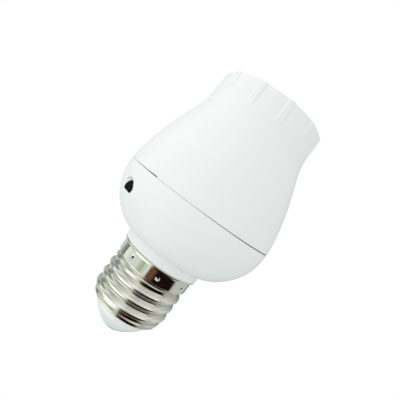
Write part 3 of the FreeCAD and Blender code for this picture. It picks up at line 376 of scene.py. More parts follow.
def newMaterial(name):
    material = bpy.data.materials.new(name)
    material.use_nodes = True
    graph = Graph(material.node_tree)
    shader = material.node_tree.nodes["Principled BSDF"]
    place = graph.node("ShaderNodeTexCoord", None, "Object")  # in metres
    return material, graph, shader, place


def setShader(graph, shader, **values):
    for name, value in values.items():
        socket = shader.inputs[name.replace("_", " ")]
        if isinstance(value, Term):
            graph.tree.links.new(value.socket, socket)
        else:
            socket.default_value = (*value, 1.0) if isinstance(value, tuple) else value


def noise(graph, place, scale, detail=2.0, stretch=(1, 1, 1)):  # scale is in features per millimetre
    spread = graph.node("ShaderNodeVectorMath", {0: place, 1: tuple(scale / mm * share for share in stretch)},
                        operation="MULTIPLY")
    return graph.node("ShaderNodeTexNoise", {"Vector": spread, "Scale": 1.0, "Detail": detail})


def bump(graph, height, depth):  # depth in millimetres
    return graph.node("ShaderNodeBump", {"Height": height, "Distance": depth * mm, "Strength": 1.0})


# a moulded, dipped or plated finish with mottled colour and a fine grain
def finishPlain(name, color, spread, cloud, grain, rough, roughSpread, bumpDepth, metal=0.0):
    material, graph, shader, place = newMaterial(name)
    mottle = noise(graph, place, cloud)
    speckle = noise(graph, place, grain, 3.0)
    setShader(graph, shader,
              Base_Color=graph.mixColor(mottle, tuple(channel * (1 - spread) for channel in color), color),
              Roughness=rough + (speckle - 0.5) * roughSpread,
              Metallic=metal,
              Normal=bump(graph, speckle, bumpDepth))
    return material


plainLooks = {  # as finishPlain takes them: cloud and grain in features per millimetre, bump in millimetres
    "blackEpoxy": ((0.028, 0.028, 0.030), 0.3, 0.3, 9, 0.5, 0.2, 0.01),
    "yellowCase": ((0.72, 0.50, 0.06), 0.1, 0.2, 5, 0.3, 0.1, 0.004),
    "canSleeve": ((0.03, 0.04, 0.10), 0.2, 0.2, 6, 0.3, 0.1, 0.006),
    "resistorCoat": ((0.42, 0.58, 0.64), 0.15, 0.8, 6, 0.35, 0.1, 0.01),
    "varistorCoat": ((0.05, 0.16, 0.42), 0.15, 0.5, 4, 0.35, 0.1, 0.02),
    "sensorResin": ((0.62, 0.36, 0.14), 0.2, 0.8, 5, 0.2, 0.1, 0.005),
    "boardMask": ((0.03, 0.20, 0.07), 0.35, 0.6, 8, 0.35, 0.1, 0.004),
    "zincSteel": ((0.58, 0.59, 0.62), 0.2, 0.8, 7, 0.35, 0.2, 0.004, 1.0),
    "turnedBrass": ((0.78, 0.60, 0.30), 0.15, 0.7, 6, 0.25, 0.15, 0.003, 1.0),
    "blackWire": ((0.025, 0.025, 0.025), 0.2, 0.4, 5, 0.45, 0.1, 0.004),
    "redWire": ((0.45, 0.02, 0.02), 0.2, 0.4, 5, 0.45, 0.1, 0.004),
    "baseWhite": ((0.80, 0.80, 0.76), 0.06, 0.3, 5, 0.5, 0.12, 0.02),
}
looks = {name: finishPlain(name, *values) for name, values in plainLooks.items()}


def finishHousing(values):  # satin white moulding; the parting groove is coloured dark grey as painted shade
    material, graph, shader, place = newMaterial("whiteHousing")
    _, _, z, radius = graph.splitRound(place)
    cloud = noise(graph, place, values["cloud"])
    grain = noise(graph, place, values["grain"], 4.0)
    white = graph.mixColor(cloud, values["shade"], values["white"])
    low, high = [value * mm for value in values["grooveHalf"]]
    face, bottom = values["grooveRadius"] * mm, (values["grooveRadius"] - values["grooveDepth"]) * mm
    inGroove = graph.smooth(radius, face, bottom)
    level = 1 - graph.smooth((z - values["grooveHeight"] * mm).do("ABSOLUTE"), low, high)
    # painted shade: faces inside the parting groove get the dark grey colour
    setShader(graph, shader,
              Base_Color=graph.mixColor(inGroove * level, white, values["grooveShade"]),
              Roughness=values["rough"] + (grain - 0.5) * values["roughSpread"],
              Normal=bump(graph, grain, values["bump"]),
              Specular_IOR_Level=values["specular"])
    return material


plating = dict(  # features per millimetre, and how far the lines are drawn out round the axis
    lines=1.2, stretch=0.08, waves=0.16, haze=0.5, darkeningLeast=0.6, roughSpread=0.06)


def finishNickel(values):  # bright plate with faint lines round the axis, a slow waviness, and a patchy darker colour nearer the axis than given radii, as in the thread roots
    material, graph, shader, place = newMaterial(values["name"])
    lines = noise(graph, place, plating["lines"], 2.0, (plating["stretch"], plating["stretch"], 1.0))
    waves = noise(graph, place, plating["waves"], 1.0)
    haze = noise(graph, place, plating["haze"], 3.0)
    height = lines * values["lines"] + waves * values["waves"]
    _, _, z, radius = graph.splitRound(place)
    # the colour goes darker, in patches, nearer the axis than the given radii
    low, high = [value * mm for value in values["darkening"]]
    patchy = plating["darkeningLeast"] + haze * (1 - plating["darkeningLeast"])
    darkening = (1 - graph.smooth(radius, low, high)) * patchy
    color = graph.mixColor(darkening, graph.mixColor(haze, values["tint"], values["color"]), values["darkTone"])
    if "pits" in values:  # the bottoms of the punch marks lie in shade
        low, high, foot, top = [value * mm for value in values["pits"]]
        pit = (1 - graph.smooth(radius, low, high)) * graph.smooth(z, foot, top)
        color = graph.mixColor(pit, color, values["pitColor"])
    setShader(graph, shader,
              Base_Color=color,
              Metallic=1.0,
              Roughness=values["rough"] + (haze - 0.5) * plating["roughSpread"],
              Normal=bump(graph, height, 1.0))
    return material


def finishSmooth(name, values):  # pressed or polished plastic in two close shades
    material, graph, shader, place = newMaterial(name)
    cloud = noise(graph, place, values["cloud"])
    grain = noise(graph, place, values["grain"])
    setShader(graph, shader,
              Base_Color=graph.mixColor(cloud, values["shade"], values["color"]),
              Roughness=values["rough"] + (grain - 0.5) * values["roughSpread"],
              Normal=bump(graph, grain, values["bump"]),
              Specular_IOR_Level=values["specular"])
    return material


def finishTin(values):  # dull tinned contact with soft blotches
    material, graph, shader, place = newMaterial("tinnedContact")
    blotch = noise(graph, place, values["blotch"], 4.0)
    grain = noise(graph, place, values["grain"], 3.0)
    setShader(graph, shader,
              Base_Color=graph.mixColor(blotch, values["dull"], values["bright"]),
              Metallic=values["metal"],
              Roughness=values["rough"] + (blotch - 0.5) * values["roughSpread"],
              Normal=bump(graph, grain, values["bump"]))
    return material


# Radii, depths and heights are in millimetres, and noise is in features per millimetre

# the dark grey for the parting groove is painted shade, not dirt
looks["whiteHousing"] = finishHousing(dict(
    white=(0.875, 0.885, 0.880), shade=(0.855, 0.868, 0.862), grooveShade=(0.16, 0.17, 0.17), rough=0.42,
    roughSpread=0.1, specular=0.3, cloud=0.06, grain=6.0, bump=0.008,
    grooveRadius=26.45, grooveDepth=0.3, grooveHeight=21.55, grooveHalf=(0.5, 0.9)))
looks["nickel"] = finishNickel(dict(
    name="nickel", color=(0.86, 0.85, 0.82), tint=(0.80, 0.79, 0.75), rough=0.07, lines=0.005, waves=0.08,
    darkening=(12.1, 12.65), darkTone=(0.60, 0.57, 0.52),
    pits=(12.80, 12.92, -4.6, -4.0), pitColor=(0.05, 0.045, 0.04)))
looks["socketNickel"] = finishNickel(dict(
    name="socketNickel", color=(0.84, 0.82, 0.78), tint=(0.76, 0.74, 0.69), rough=0.14, lines=0.006,
    waves=0.06, darkening=(12.25, 12.5), darkTone=(0.60, 0.58, 0.54)))
looks["whiteCone"] = finishSmooth("whiteCone", dict(  # a little glossier than the housing
    color=(0.88, 0.895, 0.885), shade=(0.85, 0.875, 0.86), rough=0.24, roughSpread=0.08,
    specular=0.5, cloud=0.25, grain=3.0, bump=0.002))
looks["tin"] = finishTin(dict(
    bright=(0.90, 0.90, 0.88), dull=(0.74, 0.74, 0.71), rough=0.38, roughSpread=0.25, metal=0.85,
    blotch=0.7, grain=4.0, bump=0.012))
looks["blackLens"] = finishSmooth("blackLens", dict(  # near-black, clear to infrared
    color=(0.008, 0.008, 0.009), shade=(0.003, 0.003, 0.004), rough=0.22, roughSpread=0.03,
    specular=0.03, cloud=0.8, grain=0.8, bump=0.01))
looks["springBronze"] = finishNickel(dict(
    name="springBronze", color=(0.80, 0.58, 0.36), tint=(0.70, 0.48, 0.28), rough=0.22, lines=0.006,
    waves=0.02, darkening=(2.0, 2.6), darkTone=(0.66, 0.46, 0.28)))
print("finishes ready:", len(looks))


# Housing

housing = dict(
    seam=21.4, gap=0.25, seamFade=1.2, wall=2.0, belly=26.58, lip=13.2, lipStep=0.2, ring=13.9, ringTop=3.5,
    dome=[(13.9, 3.5), (17.5, 2.8), (26.4, 11.3), (26.58, 18.4), (26.58, 21.4)],
    domeInside=[(24.58, 21.4), (24.58, 18.4), (24.4, 12.0), (16.7, 5.0), (13.5, 5.5)],
    bell=[(26.58, 21.65), (26.58, 23.45), (24.9, 33.0), (20.0, 45.9), (18.25, 50.8), (18.26, 57.36),
          (18.06, 59.56)],
    bellInside=[(17.1, 47.6), (18.0, 44.9), (22.9, 32.6), (24.58, 25.2), (24.58, 23.4)],
    tongue=25.48, rebate=25.6, tongueTop=23.4, snap=0.25, snapMiddle=22.6, snapWidth=0.6,
    spigot=12.55, spigotBore=9.5, spigotFoot=-4.7, floor=5.5,
    mouth=15.6, mouthRow=46.0, sleeve=17.1, sleeveFoot=33.0, rim=60.06,
    domeRows=44, bellRows=84, insideRows=26, columns=288)

window = dict(  # a scooped recess, flat towards the cap, with the lens at its bottom
    height=14.2, flat=1.15, edge=0.18, face=25.25, seat=23.0, halfWidth=9, halfHeight=5.0,
    mouthRadius=3.1, mouthMiddle=-0.25, mouthCorner=0.35,
    lensRadius=2.65, lensMiddle=-0.50, lensCorner=0.75, lensGap=0.05,
    archSteps=40, archTrim=4, spread=(0.35, 0.65, 0.85, 1.0), edgeSteps=5)

domeLine = curvePoints(housing["dome"], 200)  # the lower half's outer line, finely divided


def onDome(x, z):  # the point of the outer face in front of a place in the window's plane
    radius = domeLine[-1][0]
    for (lowRadius, low), (highRadius, high) in zip(domeLine, domeLine[1:]):
        if low <= z <= high:
            radius = lowRadius + (highRadius - lowRadius) * (z - low) / (high - low)
            break
    return (x, -math.sqrt(radius ** 2 - x * x), z)


def windowOutline(part, offset):  # an arch on a flat foot, grown by an offset, as (x, z) corners
    radius = window[part + "Radius"] + offset
    middle = window[part + "Middle"]
    low = -window["flat"] - offset
    start = math.asin((low - middle) / radius)
    sweep = math.pi - 2 * start
    steps, trim = window["archSteps"], window["archTrim"]
    turns = [start + sweep * step / steps for step in range(trim, steps - trim + 1)]
    arch = [(radius * math.cos(turn), middle + radius * math.sin(turn)) for turn in turns]
    foot = math.sqrt(radius ** 2 - (low - middle) ** 2)
    corner = window[part + "Corner"]
    return filleted([(foot, low, corner)] + arch + [(-foot, low, corner)])


def alongRay(outline, ray):  # where a ray from the window's centre meets its outline
    best = None
    for (ax, az), (bx, bz) in zip(outline, outline[1:] + outline[:1]):
        cross = ray.x * (bz - az) - ray.y * (bx - ax)
        if abs(cross) < 1e-12:  # side by side, so they never meet
            continue
        far = (ax * (bz - az) - az * (bx - ax)) / cross
        share = (ray.x * az - ray.y * ax) / -cross
        if far > 0 and -1e-9 <= share <= 1 + 1e-9 and (best is None or far < best):
            best = far
    return ray * best


def snapCorners(radius):  # the snap bead, or the groove that takes it, from below
    low, high = [housing["snapMiddle"] + side * housing["snapWidth"] / 2 for side in (-1, 1)]
    return [(radius, low), (radius + housing["snap"], housing["snapMiddle"]), (radius, high)]


def cutWindow(profile, faces):  # opens the outer face and gives the hole's rim
    columns = housing["columns"]
    outer = [row for row, (_, height) in enumerate(profile)
             if housing["ringTop"] < height < housing["seam"] and row < len(profile) / 2]
    levels = [window["height"] + side * window["halfHeight"] for side in (-1, 1)]
    low, high = [min(outer, key=lambda row: abs(profile[row][1] - level)) for level in levels]
    middle = columns * 3 // 4  # the column that faces -Y
    left, right = middle - window["halfWidth"], middle + window["halfWidth"]
    faces[:] = [face for face in faces if not all(
        low <= corner // columns <= high and left <= corner % columns <= right for corner in face)]
    border = [(low, column) for column in range(left, right)]
    border += [(row, right) for row in range(low, high)]
    border += [(high, column) for column in range(right, left, -1)]
    border += [(row, left) for row in range(high, low, -1)]
    return [row * columns + column for row, column in border]


def makeLowerShell():
    h = housing
    profile = [(h["lip"], 0.0), (h["lip"], h["lipStep"], 0.05), (h["ring"], h["lipStep"], 0.15),
               (h["ring"], h["ringTop"], 0.45)]
    profile += curvePoints(h["dome"], h["domeRows"])[1:-1]
    profile += [(h["belly"], h["seam"], 0.10), (h["tongue"], h["seam"])]
    profile += snapCorners(h["tongue"])
    profile += [(h["tongue"], h["tongueTop"], 0.1), (h["belly"] - h["wall"], h["tongueTop"], 0.1)]
    profile += curvePoints(h["domeInside"], h["insideRows"])
    profile += [(h["spigotBore"], h["floor"], 0.3), (h["spigotBore"], h["spigotFoot"], 0.2),
                (h["spigot"], h["spigotFoot"], 0.3), (h["spigot"], 0.0)]
    profile = filleted(profile)
    vertices, faces = turnedParts(profile, evenAngles(h["columns"]))
    rim = cutWindow(profile, faces)
    level = window["height"]
    rays = [Vector((vertices[corner][0], vertices[corner][2] - level)).normalized() for corner in rim]
    outlines = [windowOutline(*which) for which in (("mouth", window["edge"]), ("mouth", 0.0), ("lens", 0.0))]
    wide, tight, deep = [[alongRay(outline, ray) for ray in rays] for outline in outlines]
    layers = []
    for share in window["spread"]:  # the outer face draws in to the arch
        layers.append([onDome(vertices[corner][0] * (1 - share) + point.x * share,
                              vertices[corner][2] * (1 - share) + (point.y + level) * share)
                       for corner, point in zip(rim, wide)])
    for step in range(1, window["edgeSteps"] + 1):  # the moulded edge rounds over into the hole
        turn = math.pi / 2 * step / window["edgeSteps"]
        back = window["edge"] * (1 - math.cos(turn))
        between = [far.lerp(near, math.sin(turn)) for far, near in zip(wide, tight)]
        faced = [onDome(point.x, point.y + level) for point in between]
        layers.append([(x, y + back, z) for x, y, z in faced])
    layers += [[(point.x, -window[depth], point.y + level) for point in deep] for depth in ("face", "seat")]
    skin(vertices, faces, rim, layers, (0, -window["seat"], level))
    return newPiece("lowerShell", vertices, faces)


finish(makeLowerShell(), "holder", "white_housing", looks["whiteHousing"], "lower_shell")
print("lower half ready")

ribs = dict(count=12, width=2.8, height=0.40, flank=0.8, foot=49.6, full=58.0, inner=16.9, fade=0.8)
ribColumns = dict(  # shares of a rib's half width, then steps on to the middle between two ribs
    across=(0.0, 0.25, 0.45, 0.58, 0.66, 0.73, 0.79, 0.85, 0.91, 0.97, 1.03, 1.12, 1.3), between=6)
seamGap = [(-180, 0.20), (-110, 0.08), (-92, 0.12), (-80, 0.18), (-71.5, 0.31), (-71.0, 0.05), (-50, 0.05),
           (-30, 0.13), (0, 0.24), (30, 0.27), (90, 0.20), (180, 0.20)]  # degrees round the axis, gap


def gapAt(angle):
    degrees = math.degrees(angle)
    for (low, first), (high, second) in zip(seamGap, seamGap[1:]):
        if low <= degrees <= high:
            return first + (second - first) * (degrees - low) / (high - low)
    return seamGap[0][1]


def ribAngles():  # columns crowd together at the flanks of each rib
    sector = 360 / ribs["count"]
    half = math.degrees(ribs["width"] / 2 / housing["bell"][-1][0])
    side = [half * share for share in ribColumns["across"]]
    reach, between = side[-1], ribColumns["between"]
    side += [reach + (sector / 2 - reach) * step / between for step in range(1, between + 1)]
    turns = side[:-1] + [sector - turn for turn in reversed(side[1:])]
    return [math.radians(sector * index + turn) for index in range(ribs["count"]) for turn in turns]


def makeUpperShell():
    h = housing
    foot = h["seam"] + h["gap"]
    neck = h["bell"][-1][0]
    profile = [(h["belly"], foot, 0.10)] + curvePoints(h["bell"], h["bellRows"])[1:-1]
    profile += [(neck, h["rim"], 0.5), (h["mouth"], h["rim"], 0.5), (h["mouth"], h["mouthRow"]),
                (h["mouth"], h["sleeveFoot"], 0.3), (h["sleeve"], h["sleeveFoot"], 0.3)]
    profile += curvePoints(h["bellInside"], h["insideRows"])
    profile += [(h["rebate"], h["tongueTop"], 0.1)] + snapCorners(h["rebate"])[::-1] + [(h["rebate"], foot)]
    vertices, faces = turnedParts(filleted(profile), ribAngles())
    moved = []
    for x, y, z in vertices:  # the seam is wider in some places than in others
        near = max(0.0, 1 - (z - foot) / h["seamFade"])
        moved.append((x, y, z + (gapAt(math.atan2(y, x)) - h["gap"]) * near * near * (3 - 2 * near)))
    return newPiece("upperShell", moved, faces)


upperShell = makeUpperShell()
addTree(upperShell, ribTree, looks["whiteHousing"], ribs, count=float(ribs["count"]))
finish(settle(upperShell), "holder", "white_housing", looks["whiteHousing"], "upper_shell")
print("upper half ready")

lightPipe = dict(  # layers are (inset, back), rounds are (radius, front, depth, rise)
    layers=[(0.0, 0.16), (0.03, 0.06), (0.10, 0.02), (0.4, 0.0), (0.9, -0.01), (1.6, -0.02)],
    rounds=[(3.6, 20.2, 1.0, 0.0), (2.2, 21.1, 2.0, 0.6)], columns=48)


def makeLens():  # the light pipe fills the arch, its face softly rounded at the edge
    outline = windowOutline("lens", -window["lensGap"])
    level = window["height"]
    vertices = [(x, -window["seat"], z + level) for x, z in outline]
    faces = []
    ring = list(range(len(outline)))
    layers = []
    for inset, back in lightPipe["layers"]:
        scale = 1 - inset / window["lensRadius"]
        layers.append([(x * scale, back - window["face"], z * scale + level) for x, z in outline])
    skin(vertices, faces, ring, layers, (0, lightPipe["layers"][-1][1] - window["face"], level))
    skin(vertices, faces, ring[::-1], [], (0, -window["seat"], level))
    for radius, front, depth, rise in lightPipe["rounds"]:  # a flange and a stem behind the arch
        profile = [(0.0, 0.0), (radius, 0.0), (radius, depth), (0.0, depth)]
        roundVertices, roundFaces = turnedParts(profile, evenAngles(lightPipe["columns"]))
        first = len(vertices)
        vertices += [(x, -front - height, y + level + rise) for x, y, height in roundVertices]
        faces += [[corner + first for corner in face] for face in roundFaces]
    return newPiece("sensorLens", vertices, faces)


finish(makeLens(), "holder", "black_lens", looks["blackLens"], "sensor_lens")
print("lens ready")


# Cap

screw = dict(root=12.1, crest=13.15, pitch=3.629, crestHeight=-8.83, sheet=0.35, runOut=2.0)
cap = dict(
    lip=13.72, lipWidth=0.9, lipDepth=0.5, neckDepth=0.95, collar=13.0, collarTop=-1.35, collarFoot=-4.55,
    collarEnd=-4.9, shoulder=0.1, threadTop=-5.85, threadEnd=-19.45, endDepth=0.5, endHole=10.9,
    curl=(-0.2, -0.25, 0.1, 0.25, 0.3),  # heights of the curled end's corners from the thread's foot
    columns=420, collarRows=26, threadRows=118, insideRows=30,
    linerEnd=-4.7, linerFoot=-4.6, linerTop=-0.2, linerRows=11)
dimples = dict(count=8, turn=17.4, height=-2.7, radius=1.05, depth=0.20, pit=0.13)


def rollScrew(piece, bottom, top, plainEnd, material):  # the plain ends are roots, 0, or crests, 1
    sizes = dict(screw, rise=screw["crest"] - screw["root"], bottom=bottom, top=top)
    addTree(piece, screwTree, material, sizes, plainEnd=plainEnd)


def makeCapShell():
    root, collar, hole = screw["root"], cap["collar"], cap["endHole"]
    inside, liner = root - screw["sheet"], collar - screw["sheet"]
    top = cap["threadTop"] + screw["sheet"] / 2
    bottom = cap["threadEnd"] - cap["endDepth"] / 2
    lip, lipFoot = cap["lip"], -cap["lipDepth"]
    profile = [(lip - cap["lipWidth"], 0.0), (lip, 0.0, 0.16), (lip, lipFoot, 0.2)]
    profile += [(collar, -cap["neckDepth"], 0.3), (collar, cap["collarTop"])]
    profile += wall(collar, cap["collarTop"], cap["collarFoot"], cap["collarRows"])
    profile += [(collar, cap["collarFoot"]), (collar, cap["collarEnd"], 0.3),
                (root, cap["threadTop"] + cap["shoulder"], 0.45)]
    profile += wall(root, top, bottom, cap["threadRows"])
    curl = [bottom + height for height in cap["curl"]]
    profile += [(root, curl[0], 0.3), (hole, curl[1], 0.1), (hole, curl[2]), (inside, curl[3])]
    profile += wall(inside, curl[4], top, cap["insideRows"])
    profile += [(inside, cap["threadTop"]), (liner, cap["linerEnd"])]
    profile += wall(liner, cap["linerFoot"], cap["linerTop"], cap["linerRows"]) + [(liner, 0.0)]
    piece = turned("capShell", profile, cap["columns"])
    rollScrew(piece, bottom, top, 0.0, looks["nickel"])
    return piece


capShell = makeCapShell()
addTree(capShell, dimpleTree, looks["nickel"], dimples,
        count=float(dimples["count"]), turn=math.radians(dimples["turn"]))
finish(settle(capShell), "holder", "nickel_sheet", looks["nickel"], "cap_shell")
print("cap shell ready")

insulator = dict(
    hollow=[(1.65, -24.9), (3.3, -24.9), (8.9, -18.2)], flange=11.55, flangeTop=-18.2, neckTop=-19.45,
    cone=[(10.8, -19.95), (10.8, -21.85), (7.97, -24.4), (5.4, -26.8)], rows=24, columns=160)


def makeInsulator():
    i = insulator
    neck, tip = i["cone"][0][0], i["cone"][-1]
    profile = i["hollow"] + [(i["flange"], i["flangeTop"], 0.2), (i["flange"], i["neckTop"], 0.1)]
    profile += [(neck, i["neckTop"])] + curvePoints(i["cone"], i["rows"])[:-1]
    profile += [(*tip, 0.12), (i["hollow"][0][0], tip[1])]
    return turned("capInsulator", profile, i["columns"])


finish(makeInsulator(), "holder", "white_cone", looks["whiteCone"], "cap_insulator")

contact = dict(
    radius=4.9, rim=-27.1, dome=1.8, domeSteps=16, back=-26.8, stem=1.6, head=2.8, headFoot=-24.9,
    headTop=-24.4)


def makeCapContact():  # stamped dome with a rolled edge, riveted through the cone
    c = contact
    tip = c["rim"] - c["dome"]
    dome = crown(c["radius"], c["dome"], c["domeSteps"])
    profile = [(0.0, tip)] + [(radius, tip + drop) for radius, drop in dome]
    profile += [(c["radius"], c["rim"], 0.12), (c["radius"], c["back"]), (c["stem"], c["back"]),
                (c["stem"], c["headFoot"]), (c["head"], c["headFoot"]), (c["head"], c["headTop"], 0.2),
                (0.0, c["headTop"])]
    return turned("capContact", profile)


finish(makeCapContact(), "holder", "tinned_contact", looks["tin"], "cap_contact")
print("cone and contact ready")


# Socket in the neck

socket = dict(
    crest=13.3, floor=35.0, cup=36.2, top=53.0, lip=0.8, lipFoot=52.65, mouth=0.3, mouthStep=0.2, hole=9.5,
    columns=384, threadRows=130, outsideRows=34)


def makeSocketShell():
    sheet, hole, floor = screw["sheet"], socket["hole"], socket["floor"]
    inner = socket["crest"]
    outer, lip = inner + sheet, inner + sheet + socket["lip"]
    neck = socket["top"] - socket["lip"]
    bottom, top = socket["cup"] - sheet / 2, neck + sheet / 2
    profile = [(hole, floor), (outer, floor, 0.6)] + wall(outer, bottom, top, socket["outsideRows"])
    profile += [(outer, neck, 0.3), (lip, socket["lipFoot"], 0.15), (lip, socket["top"], 0.15),
                (inner + socket["mouth"], socket["top"], 0.3), (inner, top - socket["mouthStep"])]
    profile += wall(inner, top, bottom, socket["threadRows"])
    profile += [(inner, floor + sheet, 0.4), (hole, floor + sheet)]
    piece = turned("socketShell", profile, socket["columns"])
    rollScrew(piece, bottom, top, 1.0, looks["socketNickel"])
    return piece


finish(settle(makeSocketShell()), "holder", "nickel_sheet", looks["socketNickel"], "socket_thread_shell")
print("socket shell ready")

rivets = dict(
    shank=1.0, head=1.6, headDepth=0.6, foot=29.4, circle=11.3, shellTop=35.35, leafX=-7.0, leafTop=35.4,
    domeSteps=8, columns=40)


def makeRivet(name, top, x, y):  # domed head above, flat tail below the solder tag
    r = rivets
    tail = r["foot"] + r["headDepth"]
    turns = [math.pi / 2 * step / r["domeSteps"] for step in range(r["domeSteps"])]
    profile = [(0.0, r["foot"]), (r["head"], r["foot"], 0.15), (r["head"], tail), (r["shank"], tail),
               (r["shank"], top)]
    profile += [(r["head"] * math.cos(turn), top + r["headDepth"] * math.sin(turn)) for turn in turns]
    profile += [(0.0, top + r["headDepth"])]
    piece = turned(name, profile, r["columns"])
    piece.data.transform(Matrix.Translation((x * mm, y * mm, 0)))
    return piece


shellRivets = makeRivet("shellRivets", rivets["shellTop"], 0, rivets["circle"])
addTree(shellRivets, ringTree, looks["turnedBrass"], {}, count=2)
finish(settle(shellRivets), "holder", "brass", looks["turnedBrass"], "shell_rivets")
leafRivet = makeRivet("leafRivet", rivets["leafTop"], rivets["leafX"], 0)
finish(leafRivet, "holder", "brass", looks["turnedBrass"], "leaf_rivet")

leaf = dict(
    width=4.4, thick=0.4, foot=-8.9, bend=-4.9, pad=-2.0, end=2.2, low=35.0, rise=2.6, round=0.9,
    across=(-1.0, -0.97, -0.9, -0.45, 0.0, 0.45, 0.9, 0.97, 1.0))


def makeLeaf():  # a strip with rounded bends, drawn in from the side and given its width across Y
    top = leaf["low"] + leaf["rise"]
    above = top + 9  # only closes the outline, far from the strip, and is cut off again
    under = filleted([(leaf["foot"], leaf["low"]), (leaf["bend"], leaf["low"], leaf["round"]),
                      (leaf["pad"], top, leaf["round"]), (leaf["end"], top),
                      (leaf["end"], above), (leaf["foot"], above)], 10)[:-2]
    vertices = []
    for index, (x, z) in enumerate(under):
        before = Vector(under[max(index - 1, 0)])
        after = Vector(under[min(index + 1, len(under) - 1)])
        along = (after - before).normalized() * leaf["thick"]
        for share in leaf["across"]:
            y = share * leaf["width"] / 2
            vertices += [(x, y, z), (x - along.y, y, z + along.x)]
    strips = range(0, len(leaf["across"]) * 2 - 2, 2)
    wide = len(leaf["across"]) * 2
    ends = (0, (len(under) - 1) * wide)
    faces = []
    for row in range(0, ends[1], wide):
        for a in [row + strip for strip in strips]:
            faces.append([a, a + 2, a + wide + 2, a + wide])
            faces.append([a + 1, a + wide + 1, a + wide + 3, a + 3])
        for a in (row, row + wide - 2):
            faces.append([a, a + wide, a + wide + 1, a + 1])
    faces += [[a, a + 1, a + 3, a + 2] for a in [end + strip for end in ends for strip in strips]]
    return newPiece("contactLeaf", vertices, faces)


contactLeaf = makeLeaf()
contactLeaf.data.materials.append(looks["springBronze"])
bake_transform(contactLeaf)
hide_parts("contact_leaf")

button = dict(
    radius=2.0, top=39.2, rim=38.4, low=38.0, stem=0.8, head=1.3, headFoot=37.2, headTop=37.6, domeSteps=12,
    columns=72)


def makeButton():
    b = button
    dome = crown(b["radius"], b["top"] - b["rim"], b["domeSteps"])
    profile = [(0.0, b["headFoot"]), (b["head"], b["headFoot"], 0.1), (b["head"], b["headTop"]),
               (b["stem"], b["headTop"]), (b["stem"], b["low"]), (b["radius"], b["low"], 0.08),
               (b["radius"], b["rim"], 0.1)]
    profile += [(radius, b["top"] - drop) for radius, drop in reversed(dome)] + [(0.0, b["top"])]
    return turned("contactButton", profile, b["columns"])


finish(makeButton(), "contact", "brass", looks["turnedBrass"], "contact_button")
print("contact ready")


# Solids that stay as they are get their own finish

nodeLooks = {
    "light_sensor": "sensorResin", "film_capacitor": "yellowCase", "smoothing_capacitor": "canSleeve",
    "thyristor": "blackEpoxy", "bridge_rectifier": "blackEpoxy", "control_chip": "blackEpoxy",
    "resistors": "resistorCoat", "varistor": "varistorCoat", "board_screws": "zincSteel",
    "socket_screws": "zincSteel", "circuit_board": "boardMask", "socket_base": "baseWhite",
    "terminal_tags": "turnedBrass", "cap_shell_lead": "blackWire", "cap_centre_lead": "redWire",
    "socket_shell_lead": "blackWire", "socket_centre_lead": "redWire",
}
for node, look in nodeLooks.items():
    cadNodes[node].data.materials.clear()
    cadNodes[node].data.materials.append(looks[look])
print("inner parts dressed:", len(nodeLooks))


# Camera, fitted to the outline in the 400 x 400 photograph

view = dict(  # millimetres, degrees, and pixels for the focal length and the frame's side
    distance=108.8, height=26.6, frameTurn=49.4, roll=36.77, tilt=2.09, pan=0.56, focal=330.4, side=400,
    sensor=36.0, nearest=5.0, farthest=20000.0)


def makeCamera():
    turn = math.radians(view["frameTurn"])
    looking = Matrix(((1, 0, 0), (0, 0, -1), (0, 1, 0)))  # right, down and forward when it looks along +Y
    roll, tilt, pan = [Matrix.Rotation(math.radians(view[name]), 3, axis)
                       for name, axis in (("roll", "Z"), ("tilt", "X"), ("pan", "Y"))]
    toCamera = roll @ tilt @ pan @ looking @ Matrix.Rotation(-turn, 3, "Z")
    lens = bpy.data.cameras.new("camera")
    lens.sensor_width = view["sensor"]
    lens.lens = view["sensor"] * view["focal"] / view["side"]
    lens.clip_start = view["nearest"] * mm
    lens.clip_end = view["farthest"] * mm
    camera = newObject("camera", lens)
    away = view["distance"]
    place = Vector((away * math.sin(turn), -away * math.cos(turn), view["height"])) * mm
    axes = Matrix((toCamera[0], -toCamera[1], -toCamera[2])).transposed()  # right, up and back
    camera.matrix_world = Matrix.Translation(place) @ axes.to_4x4()
    bpy.context.scene.camera = camera


makeCamera()


# Studio: pale floor, white world, two soft lamps, and cards that only polished metal sees

studio = dict(
    floor=-0.11, floorSize=3.0, floorColor=(0.84, 0.85, 0.85), white=1.065, whiteShare=0.8,
    world=0.955, worldColor=(0.965, 1.0, 0.99), bright=(-105, 10), gain=0.08,
    levelEdge=(-12, -7), deepEdge=(-28, -21), underEdge=(-58, -50), overEdge=(40, 58),
    over=(0.86, 0.86, 0.80))

lamps = [  # degrees round the axis and above the level; distance, size and height aimed at in metres; watts
    dict(name="keyLamp", turn=-90, rise=-9, distance=0.30, size=0.14, aim=0.02, power=0.085),
    dict(name="neckLamp", turn=-122, rise=20, distance=0.16, size=0.08, aim=0.055, power=0.022)]

cards = dict(  # plain cards round the part, which only its polished metal mirrors
    glare=(1.8, 1.85, 1.8), bright=(1.3, 1.35, 1.25), white=(0.95, 1.0, 0.9), cream=(0.95, 0.95, 0.8),
    pale=(0.75, 0.78, 0.72), grey=(0.55, 0.57, 0.55), sage=(0.4, 0.5, 0.35), dim=(0.2, 0.25, 0.2),
    brown=(0.15, 0.07, 0.04), black=(0.01, 0.005, 0.004))

highCards = [  # above the metal's level: degrees round the axis, card
    (-180, "grey"), (-160, "dim"), (-135, "white"), (-110, "grey"), (-90, "grey"), (-65, "white"),
    (-50, "white"), (-30, "grey"), (0, "pale"), (25, "cream"), (40, "grey"), (60, "pale"), (90, "grey"),
    (120, "dim"), (140, "dim"), (180, "grey")]

lowCards = [  # a little below it
    (-180, "pale"), (-155, "dim"), (-145, "dim"), (-140, "white"), (-115, "pale"), (-85, "pale"),
    (-70, "sage"), (-55, "pale"), (-50, "pale"), (-45, "brown"), (-30, "brown"), (-20, "black"),
    (35, "black"), (45, "grey"), (95, "grey"), (115, "dim"), (135, "black"), (155, "grey"), (180, "pale")]

